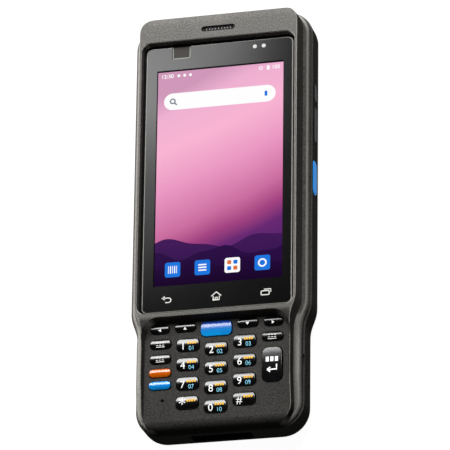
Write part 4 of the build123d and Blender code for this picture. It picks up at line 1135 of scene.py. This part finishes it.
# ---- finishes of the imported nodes
@dataclass
class Casework:
    """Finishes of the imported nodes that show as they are; lengths are in millimetres."""

    # region of painted shade round the keys on the front housing
    plate: Point = (30.0, -40.0)
    scan_fade: Point = (1.0, 1.5)
    camera: Point = (0.0, 58.0)
    camera_radius: float = 4.4
    flash: Point = (9.6, 58.0)
    flash_radius: float = 2.2
    camera_rings: Stops = (
        (0.0, "#05060a"), (0.34, "#0d1320"), (0.4, "#4a4a4c"), (0.47, "#101010"), (1.0, "#0a0a0b"),
    )
    flash_rings: Stops = ((0.0, "#fff2b8"), (0.45, "#f0e2a0"), (0.6, "#d9d6cc"), (1.0, "#c9c8c4"))

    def mouldings(self) -> dict[str, Finishing]:
        """Chooses the finishes of the moulded pieces.

        Returns:
            The finishes by node.
        """
        shell = Moulding("shell_grain", "#3b3a38", "#666461")
        satin = Moulding(
            "satin_black", "#0d0d0c", "#1c1c1b", depth=0.01, roughness=0.45, specular=0.04
        )
        inner = Moulding(
            "inner_black", "#111111", "#1d1d1c", grain=0.8, depth=0.02, roughness=0.7, specular=0.1
        )
        return {
            # the front housing gets painted shade round the keys and a painted highlight on its rolls and
            # shelves
            "front_housing": Moulding("face_grain", "#43423f", "#757370", plate=self.plate),
            "rear_housing": shell, "battery_cover": shell,
            "port_cover": Moulding("cover_rubber", "#0b0b0a", "#191918", grain=0.4, depth=0.01),
            "power_key": satin, "volume_key": satin, "left_trigger": satin, "battery_latch": satin,
            "microphone": inner, "earpiece": inner, "side_switches": inner,
            "scan_engine": inner, "camera_module": inner, "loudspeaker": inner,
            "earpiece_grille": Moulding(
                "grille_black", "#0a0a0a", "#141414", grain=0.4, depth=0.01, roughness=0.5, specular=0.1
            ),
            "battery_pack": Moulding(
                "battery_sleeve", "#26282b", "#33363a", grain=1.4, depth=0.01, roughness=0.4, specular=0.3
            ),
        }

    def lacquers(self) -> dict[str, Finishing]:
        """Chooses the finishes of the coloured keys and of the small windows.

        Returns:
            The finishes by node.
        """
        front, back = (corner.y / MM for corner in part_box("key_scan"))
        near, far = self.scan_fade
        low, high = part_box("sensor_window")
        return {
            "key_blue": Lacquer("key_blue", "#0873b8", roughness=0.16, specular=0.28),
            "key_orange": Lacquer("key_orange", "#ac4c00", roughness=0.16, specular=0.28),
            "key_scan": Lacquer(
                "scan_blue", "#063c96", lighter="#0698da", low=front + near, high=back - far
            ),
            # the trigger's glow is painted light: it is no lamp, and the glow brightens a side key that
            # the lamps leave dark
            "right_trigger": Lacquer(
                "trigger_blue", "#2488dc", roughness=0.3, specular=0.01, glow=0.55
            ),
            "status_lamps": Lacquer("lamp_lens", "#8c8d89", roughness=0.25, specular=0.3),
            "scan_window": Lacquer("scan_tint", "#2a0709", roughness=0.1, specular=0.15),
            "sensor_window": TintedPlate("sensor_tint", tuple(low.xy), tuple(high.xy)),
        }

    def metals(self) -> dict[str, Finishing]:
        """Chooses the finishes of the metal, rubber, glass and board pieces.

        Returns:
            The finishes by node.
        """
        tin = Metal("tinned_sheet", "#c4c4c0", roughness=0.3, lines=(1.0, 0.08, 1.0))
        board = CircuitBoard("green_board")
        gasket = Rubber("seal_rubber", "#0d0d0d")
        return {
            "inner_frame": Metal("pressed_alloy", "#b9bcc0", roughness=0.38),
            "board_shields": tin, "vibration_motor": tin, "interface_socket": tin, "battery_catch": tin,
            "keypad_board": board, "main_board": board, "side_boards": board,
            # the window gasket is black rubber, and its black also stands in for the shade deep in the gap
            # round the glass
            "housing_seal": gasket, "window_gasket": gasket,
            "keypad_mat": Rubber("mat_rubber", "#3a3c3e"),
            "battery_contacts": Metal("contact_gold", "#d8a94e", roughness=0.22),
            "housing_screws": Metal("black_steel", "#3c3c3e", roughness=0.32),
            "camera_window": LensGlass("camera_glass", self.camera, self.camera_rings, self.camera_radius),
            "flash_lens": LensGlass("flash_glass", self.flash, self.flash_rings, self.flash_radius),
        }

    def dress(self, nodes: dict[str, bpy.types.Object]) -> None:
        """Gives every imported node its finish; a key that isn't named gets the black one.

        Args:
            nodes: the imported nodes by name.
        """
        black_key = Lacquer("key_black", "#070708", roughness=0.16, specular=0.3)
        table = {**self.mouldings(), **self.lacquers(), **self.metals()}
        made: dict[Finishing, bpy.types.Material] = {}
        for name, node in nodes.items():
            finish = table.get(name, black_key)
            if finish not in made:
                made[finish] = finish.build()
            for slot in node.material_slots:
                slot.material = made[finish]
            LOG.info("node %s: %s", name, finish.name)


# ---- display
@dataclass(frozen=True)
class Dune:
    """Soft wave across the lower part of the screen; lengths are in millimetres."""

    name: str
    crest: float
    swing: float
    waves: float
    start: float
    colours: tuple[str, str]
    ripple: Point = (0.3, 2.3)
    steps: int = 40

    def shades(self) -> Stops:
        """Colour at the foot and at the crest."""
        return ((0.0, self.colours[0]), (1.0, self.colours[1]))

    def strips(self, left: float, right: float, low: float) -> list[Outline]:
        """Upright strips that fill the wave from its foot to its crest.

        Args:
            left: left end of the wave.
            right: right end of the wave.
            low: foot of the wave.

        Returns:
            The strips, from left to right.
        """
        height, rate = self.ripple
        top = []
        for step in range(self.steps + 1):
            share = step / self.steps
            turn = share * math.tau * self.waves
            wave = math.sin(turn + self.start) + height * math.sin(turn * rate)
            top.append((left + share * (right - left), low + self.crest + self.swing * wave))
        return [[(a[0], low), (b[0], low), b, a] for a, b in zip(top, top[1:])]


@dataclass
class StartScreen:
    """Display module with a plain start screen, under the cover glass; lengths are in millimetres.

    Chips are rounded rectangles: their place, width, height and corner radius. Those of the status
    row and their neighbours are set out from the middle of the display, others from their own sign's
    or bar's middle. The fields from inks on are filled in by build.
    """

    half_width: float = 24.9
    half_length: float = 44.3
    centre: Point = (0.3, 17.05)
    layer: float = 0.03
    depth: float = 0.4
    feather: float = 0.02
    corner: float = 0.6
    sky: Stops = (
        (0.0, "#4b1f6b"), (0.16, "#6b2a76"), (0.24, "#a84585"), (0.34, "#d070a4"),
        (0.54, "#f09cc8"), (0.73, "#ffb8d8"), (0.9, "#f4b4d6"), (1.0, "#d39abd"),
    )
    sky_lean: float = 0.005
    dunes: tuple[Dune, ...] = (
        Dune("far_dune", 17.0, 2.0, 1.3, 0.6, ("#2c0f49", "#421a5a")),
        Dune("middle_dune", 13.0, 1.9, 1.7, 2.4, ("#20093c", "#2d0f47")),
        Dune("near_dune", 8.5, 1.5, 2.1, 4.4, ("#190529", "#250a3c")),
    )
    row_drop: float = 1.9
    row_figures: tuple[tuple[str, float], ...] = (("12:30", -21.2), ("100", 21.6))
    row_type: Point = (1.6, 0.03)
    row_chips: tuple[Chip, ...] = (
        (-16.7, 0.0, 1.15, 1.15, 0.57), (-14.4, 0.0, 1.15, 1.15, 0.57), (-12.1, 0.0, 1.15, 1.15, 0.57),
        (18.6, 0.0, 1.1, 1.8, 0.25),
    )
    row_ring: Point3 = (15.7, 1.2, 0.3)
    bar: Chip = (-0.1, 48.8, 44.0, 6.9, 3.45)
    bar_magnifier: Point3 = (-18.4, 3.0, 0.55)
    bar_chip: Chip = (18.2, 0.0, 1.1, 2.2, 0.5)
    tile_rise: float = 6.9
    tile_pitch: float = 11.6
    tile: Point3 = (6.0, 6.0, 0.9)
    tile_inks: tuple[Ink, ...] = (Ink.LIT_BLUE, Ink.LIT_BLUE, Ink.LIT_WHITE, Ink.LIT_BLUE)
    tile_bars: tuple[Chip, ...] = tuple(
        (0.8 * place, 0.0, 0.25 + 0.2 * (place % 2), 3.0, 0.05) for place in range(-2, 3)
    )
    tile_lines: tuple[Chip, ...] = tuple((0.0, 1.1 * place, 3.2, 0.55, 0.2) for place in (1, 0, -1))
    tile_squares: tuple[Chip, ...] = ((-1.2, -1.2, 1.6, 1.6, 0.4), (1.2, 1.2, 1.6, 1.6, 0.4))
    tile_ring: Point = (2.8, 0.6)
    glows: tuple[tuple[Ink, float], ...] = (
        (Ink.LIT_WHITE, 1.06), (Ink.LIT_BLUE, 1.0), (Ink.LIT_GREY, 1.0), (Ink.LIT_CORAL, 1.0),
    )
    inks: dict[Ink, bpy.types.Material] = field(init=False)
    top: float = field(init=False)
    left: float = field(init=False)
    right: float = field(init=False)
    low: float = field(init=False)
    high: float = field(init=False)

    def build(self) -> None:
        """Makes the glass finish, the panel and everything that the screen shows."""
        low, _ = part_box("display_window")
        reach = (self.half_width + self.feather, self.half_length + self.feather)
        glass = CoverGlass("cover_glass", *reach, self.centre).build()
        for slot in bpy.data.objects["display_window"].material_slots:
            slot.material = glass
        self.top = low.z / MM - self.depth
        self.left = self.centre[0] - self.half_width
        self.right = self.centre[0] + self.half_width
        self.low = self.centre[1] - self.half_length
        self.high = self.centre[1] + self.half_length
        self.inks = {ink: Print(ink.name.lower(), ink, glow).build() for ink, glow in self.glows}
        self.panel()
        self.wallpaper()
        self.status_row()
        self.search_bar()
        self.tiles()

    def panel(self) -> None:
        """Body of the display module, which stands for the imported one."""
        low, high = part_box("display_panel")
        middle = (low + high) / 2 / MM
        size = (high - low) / MM
        black = Lacquer("panel_black", "#060607", roughness=0.3).build()
        outline = rounded_outline(middle.x, middle.y, size.x, size.y, self.corner)
        relief = Relief("display_module", self.top - low.z / MM).add([outline], black, low.z / MM)
        made = relief.piece(CASE)
        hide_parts("display_panel")

    def wallpaper(self) -> None:
        """Evening sky and three soft dunes."""
        sky = LitGradient("evening_sky", self.sky, self.low, self.high, self.sky_lean).build()
        corners = [(self.left, self.low), (self.right, self.low)]
        corners += [(self.right, self.high), (self.left, self.high)]
        Relief("sky_layer", self.layer).add([corners], sky, self.top).piece(CASE)
        for order, dune in enumerate(self.dunes, 1):
            crest = self.low + dune.crest
            shade = LitGradient(dune.name + "_shade", dune.shades(), self.low, crest).build()
            strips = dune.strips(self.left, self.right, self.low)
            Relief(dune.name, self.layer).add(strips, shade, self.top + order * self.layer).piece(CASE)

    def status_row(self) -> None:
        """Plain clock figures and dots at the left; a ring, a battery sign and figures at the right."""
        signs = [rounded_outline(*chip) for chip in self.row_chips]
        for text, x in self.row_figures:
            signs += moved(text_outlines(text, *self.row_type), x, 0.0)
        x, size, width = self.row_ring
        signs += moved(Mark.RING.value.drawn(size, width), x, 0.0)
        relief = Relief("status_row", self.layer)
        placed = moved(signs, self.centre[0], self.high - self.row_drop)
        relief.add(placed, self.inks[Ink.LIT_WHITE], self.top + self.layer)
        relief.piece(CASE)

    def search_bar(self) -> None:
        """White rounded bar with a magnifier and a small chip."""
        middle = self.bar[:2]
        level = self.top + self.layer
        bar = Relief("search_bar", self.layer)
        bar.add([rounded_outline(*self.bar)], self.inks[Ink.LIT_WHITE], level).piece(CASE)
        x, size, width = self.bar_magnifier
        magnifier = moved(Mark.MAGNIFIER.value.drawn(size, width), x, 0.0)
        marks = Relief("search_marks", self.layer)
        marks.add(moved(magnifier, *middle), self.inks[Ink.LIT_GREY], level + self.layer)
        chip = moved([rounded_outline(*self.bar_chip)], *middle)
        marks.add(chip, self.inks[Ink.LIT_BLUE], level + self.layer)
        marks.piece(CASE)

    def tiles(self) -> None:
        """Four tiles with plain signs in a row over the dunes."""
        y = self.low + self.tile_rise
        level = self.top + (len(self.dunes) + 1) * self.layer
        first = self.bar[0] - self.tile_pitch * (len(self.tile_inks) - 1) / 2
        spots = [first + index * self.tile_pitch for index in range(len(self.tile_inks))]
        faces = Relief("tiles", self.layer)
        for x, ink in zip(spots, self.tile_inks):
            faces.add([rounded_outline(x, y, *self.tile)], self.inks[ink], level)
        squares = [rounded_outline(*chip) for chip in self.tile_squares]
        signs = (
            (0, Ink.LIT_WHITE, [rounded_outline(*chip) for chip in self.tile_bars]),
            (1, Ink.LIT_WHITE, [rounded_outline(*chip) for chip in self.tile_lines]),
            (2, Ink.LIT_BLUE, squares),
            (2, Ink.LIT_CORAL, [turned(square, 90) for square in squares]),
            (3, Ink.LIT_WHITE, Mark.RING.value.drawn(*self.tile_ring)),
        )
        relief = Relief("tile_signs", self.layer)
        for index, ink, outlines in signs:
            relief.add(moved(outlines, spots[index], y), self.inks[ink], level + self.layer)
        faces.piece(CASE)
        relief.piece(CASE)


@dataclass
class GlassMarks:
    """Signs of the three touch keys, printed on the cover glass; lengths are in millimetres."""

    row_y: float = -32.8
    column: float = 19.1
    size: float = 3.8
    line: float = 0.36
    thickness: float = 0.03
    glow: float = 0.2
    marks: tuple[Mark, ...] = (Mark.BACK, Mark.HOUSE, Mark.SHEETS)

    def build(self) -> None:
        """Prints the signs."""
        _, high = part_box("display_window")
        ink = Print("glass_white", Ink.GREY, self.glow).build()
        relief = Relief("touch_key_marks", self.thickness)
        for place, mark in enumerate(self.marks, -1):
            outlines = mark.value.drawn(self.size, self.line)
            relief.add(moved(outlines, place * self.column, self.row_y), ink, high.z / MM)
        relief.piece(CASE)


# ---- keys
@dataclass(frozen=True)
class Ticks:
    """Row of short ticks that stands for letters; lengths are in millimetres.

    The shift is the way from the key's middle to the middle of the row.
    """

    count: int
    shift: Point
    size: Point
    pitch: float


@dataclass
class KeyLegends:
    """Printed legends of the key caps; lengths are in millimetres, from each key's middle."""

    digit_height: float = 2.8
    star_height: float = 4.4
    digit_shift: Point = (-1.77, -0.7)
    small_height: float = 1.6
    small_shift: Point = (1.5, -1.5)
    letters: Ticks = Ticks(4, (1.6, 0.68), (0.62, 0.95), 0.92)
    word: Ticks = Ticks(3, (0.0, -0.05), (0.75, 1.1), 1.15)
    word_line: Chip = (0.0, -1.15, 3.4, 0.22, 0.1)
    word_keys: tuple[str, ...] = ("key_clear", "key_tab", "key_back")
    arrows: tuple[tuple[str, Mark], ...] = (
        ("key_left_outer", Mark.LEFT), ("key_left_inner", Mark.UP),
        ("key_right_inner", Mark.DOWN), ("key_right_outer", Mark.RIGHT),
    )
    arrow_size: float = 1.3
    arrow_shift: Point = (0.0, -0.5)
    enter_word: Ticks = Ticks(3, (0.0, 1.9), (1.2, 1.9), 1.75)
    enter_sign: Point = (3.6, 0.5)
    enter_shift: Point = (0.0, -2.2)
    nib: Chip = (-0.3, -2.3, 2.2, 0.5, 0.25)
    nib_height: float = 0.2
    thickness: float = 0.05
    sink: float = 0.02
    strip: float = 0.35
    glows: tuple[tuple[Ink, float], ...] = ((Ink.WHITE, 0.3), (Ink.YELLOW, 0.2), (Ink.CYAN, 0.15))
    rows: RowOfBars = field(default_factory=RowOfBars)
    inks: dict[Ink, bpy.types.Material] = field(init=False)

    def build(self) -> None:
        """Prints every key that has a legend."""
        self.inks = {
            ink: Print(f"legend_{ink.name.lower()}", ink, glow).build() for ink, glow in self.glows
        }
        for figure in range(10):
            self.number_key(f"key_{figure}", str(figure), f"{figure or 10:02d}")
        self.number_key("key_star", "*", "")
        self.number_key("key_hash", "#", "")
        for name, mark in self.arrows:
            self.sign_key(name, mark.value.drawn(self.arrow_size), self.arrow_shift)
        for name in self.word_keys:
            line = self.sign_key(name, [rounded_outline(*self.word_line)])
            self.ticks(name, line, Ink.WHITE, self.word)
        enter = self.sign_key("key_enter", Mark.RETURN.value.drawn(*self.enter_sign), self.enter_shift)
        self.ticks("key_enter", enter, Ink.WHITE, self.enter_word)
        self.finger_nib("key_5")

    @staticmethod
    def centre(name: str) -> Point:
        """Middle of a key cap, in millimetres."""
        low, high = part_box(name)
        return ((low.x + high.x) / 2 / MM, (low.y + high.y) / 2 / MM)

    def number_key(self, name: str, sign: str, small: str) -> None:
        """White figure at the lower left, yellow ticks and small cyan figures at the right.

        Args:
            name: the key.
            sign: its large figure.
            small: its small figures, or nothing.
        """
        height = self.star_height if sign == "*" else self.digit_height
        relief = Relief("legend_" + name, self.thickness, self.strip)
        large = moved(text_outlines(sign, height), *self.digit_shift)
        relief.add(moved(large, *self.centre(name)), self.inks[Ink.WHITE])
        if small:
            figures = moved(text_outlines(small, self.small_height), *self.small_shift)
            relief.add(moved(figures, *self.centre(name)), self.inks[Ink.CYAN])
        piece = relief.piece(name + "_body", surface_of(name), self.sink)
        self.ticks(name, piece, Ink.YELLOW, self.letters)

    def sign_key(self, name: str, outlines: list[Outline], shift: Point = (0.0, 0.0)) -> bpy.types.Object:
        """Prints one white sign on a key.

        Args:
            name: the key.
            outlines: the sign, about the origin.
            shift: way from the key's middle to the sign's.

        Returns:
            The legend.
        """
        relief = Relief("legend_" + name, self.thickness, self.strip)
        relief.add(moved(moved(outlines, *shift), *self.centre(name)), self.inks[Ink.WHITE])
        return relief.piece(name + "_body", surface_of(name), self.sink)

    def ticks(self, name: str, piece: bpy.types.Object, ink: Ink, ticks: Ticks) -> None:
        """Adds a row of short ticks to the legend of a key.

        Args:
            name: the key.
            piece: its legend.
            ink: colour of the ticks.
            ticks: their number, place and sizes.
        """
        ground = surface_of(name)
        x, y = self.centre(name)
        first = x + ticks.shift[0] - ticks.pitch * (ticks.count - 1) / 2
        start = (first, y + ticks.shift[1], 0.0)
        size = (*ticks.size, self.thickness)
        row = self.rows.make(ticks.count, start, (ticks.pitch, 0.0, 0.0), size, self.inks[ink])
        shape = bmesh.new()
        shape.from_mesh(piece.data)
        verts, faces = len(shape.verts), len(shape.faces)
        shape.from_mesh(row)
        shape.verts.ensure_lookup_table()
        shape.faces.ensure_lookup_table()
        for face in shape.faces[faces:]:
            face.material_index = len(piece.data.materials)
        for vert in shape.verts[verts:]:
            vert.co.z += height_at(ground, vert.co.x, vert.co.y)
        piece.data.materials.append(self.inks[ink])
        shape.to_mesh(piece.data)
        shape.free()
        bpy.data.meshes.remove(row)

    def finger_nib(self, name: str) -> None:
        """Adds the small raised bar that a finger finds on the middle key.

        Args:
            name: the key.
        """
        black = Lacquer("nib_black", "#0b0b0c").build()
        relief = Relief("finger_nib", self.nib_height, self.strip)
        relief.add(moved([rounded_outline(*self.nib)], *self.centre(name)), black)
        relief.piece(name + "_body", surface_of(name), self.sink)


# ---- painted highlights in the speaker slot
@dataclass
class SpeakerMesh:
    """Painted highlights of the holes in the speaker slot, a row of light dots; lengths are in
    millimetres.
    """

    count: int = 9
    pitch: float = 1.2
    knot: Point3 = (0.4, 0.45, 0.08)

    def build(self) -> None:
        """Sets the painted highlight dots in a row along the slot."""
        low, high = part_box("earpiece_grille")
        middle = (low + high) / 2 / MM
        # painted highlight: light grey dots where the holes of the slot catch the light
        highlight_finish = Moulding(
            "speaker_highlight", "#5c5a58", "#8a8886", grain=0.3, depth=0.01, roughness=0.5, specular=0.1
        )
        start = (middle.x - self.pitch * (self.count - 1) / 2, middle.y, high.z / MM + self.knot[2] / 2)
        row = RowOfBars().make(self.count, start, (self.pitch, 0.0, 0.0), self.knot, highlight_finish.build())
        row.name = "speaker_highlight_dots"
        rider(row.name, row, CASE)


# ---- studio
@dataclass(frozen=True)
class Lamp:
    """Soft lamp aimed at the terminal; places and sizes are in metres, power in watts."""

    name: str
    place: Point3
    size: Point
    power: float

    def build(self, aim: Point3) -> None:
        """Makes the lamp and turns it towards a point.

        Args:
            aim: the point, in metres.
        """
        data = bpy.data.lights.new(self.name, "AREA")
        data.shape = "ELLIPSE"
        data.size, data.size_y = self.size
        data.energy = self.power
        lamp = linked(self.name, data)
        lamp.location = self.place
        lamp.rotation_euler = (Vector(self.place) - Vector(aim)).to_track_quat("Z", "Y").to_euler()


@dataclass
class Studio:
    """Camera, floor, surroundings and lamps; places are in metres, turns in degrees."""

    camera_place: Point3 = (0.35566, -0.56517, 1.37462)
    camera_turn: Point3 = (22.036, 14.336, 0.7126)
    sensor: float = 36.0
    lens: float = 320.163
    far: float = 100.0
    sheet_half: float = 6.0
    floor_drop: float = 0.0001
    floor_grey: float = 0.93
    floor_wash: float = 0.9
    floor_white: float = 1.08
    dim: float = 0.06
    flag_height: float = 3.0
    aim: Point3 = (0.0, 0.02, 0.02)
    lamps: tuple[Lamp, ...] = (
        Lamp("key_lamp", (-0.20, 0.36, 0.40), (0.18, 0.34), 4.6),
        Lamp("top_lamp", (0.25, 0.50, 1.15), (0.35, 0.35), 9.0),
        Lamp("sheen_card", (-0.21, 0.275, 0.555), (0.12, 0.15), 0.5),
        Lamp("under_lamp", (0.0, 0.0, -0.9), (0.3, 0.3), 4.5),
    )

    def build(self) -> None:
        """Makes everything that isn't the terminal."""
        bpy.context.scene.view_settings.view_transform = "Standard"
        self.camera()
        self.floor()
        self.flag()
        self.surroundings()
        for lamp in self.lamps:
            lamp.build(self.aim)

    def camera(self) -> None:
        """Long lens from the lower right, well above the display."""
        data = bpy.data.cameras.new("camera")
        data.sensor_width = self.sensor
        data.lens = self.lens
        data.clip_end = self.far
        camera = linked("camera", data)
        camera.location = self.camera_place
        camera.rotation_euler = Euler([math.radians(angle) for angle in self.camera_turn], "XYZ")
        bpy.context.scene.camera = camera

    def floor(self) -> None:
        """White floor under the terminal: it keeps a pale shadow, and light from below passes it."""
        graph = Finish("white_floor")
        grey = (self.floor_grey, self.floor_grey, self.floor_grey, 1.0)
        lit = graph.node("ShaderNodeBsdfDiffuse", None, {"Color": grey})
        white = graph.node("ShaderNodeEmission", None, {"Strength": self.floor_white})
        washed = graph.mix(self.floor_wash, lit, white)
        clear = graph.node("ShaderNodeBsdfTransparent")
        shown = graph.seen() * (1 - graph.node("ShaderNodeNewGeometry", output="Backfacing"))
        self.sheet("floor", -self.floor_drop, graph.close(graph.mix(shown, clear, washed)))

    def flag(self) -> None:
        """Black flag overhead, which only reflections show, so that gloss stays dark off the lamps."""
        graph = Finish("black_flag")
        gloss = graph.node("ShaderNodeLightPath", output="Is Glossy Ray")
        clear = graph.node("ShaderNodeBsdfTransparent")
        black = graph.node("ShaderNodeBsdfDiffuse", None, {"Color": linear("#000000")})
        self.sheet("flag", self.flag_height, graph.close(graph.mix(gloss, clear, black)))

    def sheet(self, name: str, height: float, ink: bpy.types.Material) -> None:
        """Makes a wide level square of the studio.

        Args:
            name: its name.
            height: its height in metres.
            ink: its material.
        """
        half = self.sheet_half
        shape = bmesh.new()
        corners = ((-half, -half), (half, -half), (half, half), (-half, half))
        shape.faces.new([shape.verts.new((x, y, height)) for x, y in corners])
        linked(name, mesh_of(name, shape, (ink,)))

    def surroundings(self) -> None:
        """White for the eye and for reflections, and a dim level of light all round."""
        world = bpy.data.worlds.new("studio")
        bpy.context.scene.world = world
        world.use_nodes = True
        graph = Graph(world.node_tree)
        level = graph.seen() * (1 - self.dim) + self.dim
        sky = graph.node("ShaderNodeBackground", None, {"Strength": level})
        graph.add("ShaderNodeOutputWorld", None, {"Surface": sky})


def main() -> None:
    """Builds the dressed terminal and its studio."""
    logging.basicConfig(level=logging.INFO, format="%(name)s: %(message)s")
    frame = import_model()
    Studio().build()
    Casework().dress(frame["nodes"])
    StartScreen().build()
    GlassMarks().build()
    KeyLegends().build()
    SpeakerMesh().build()


if __name__ == "__main__":
    main()
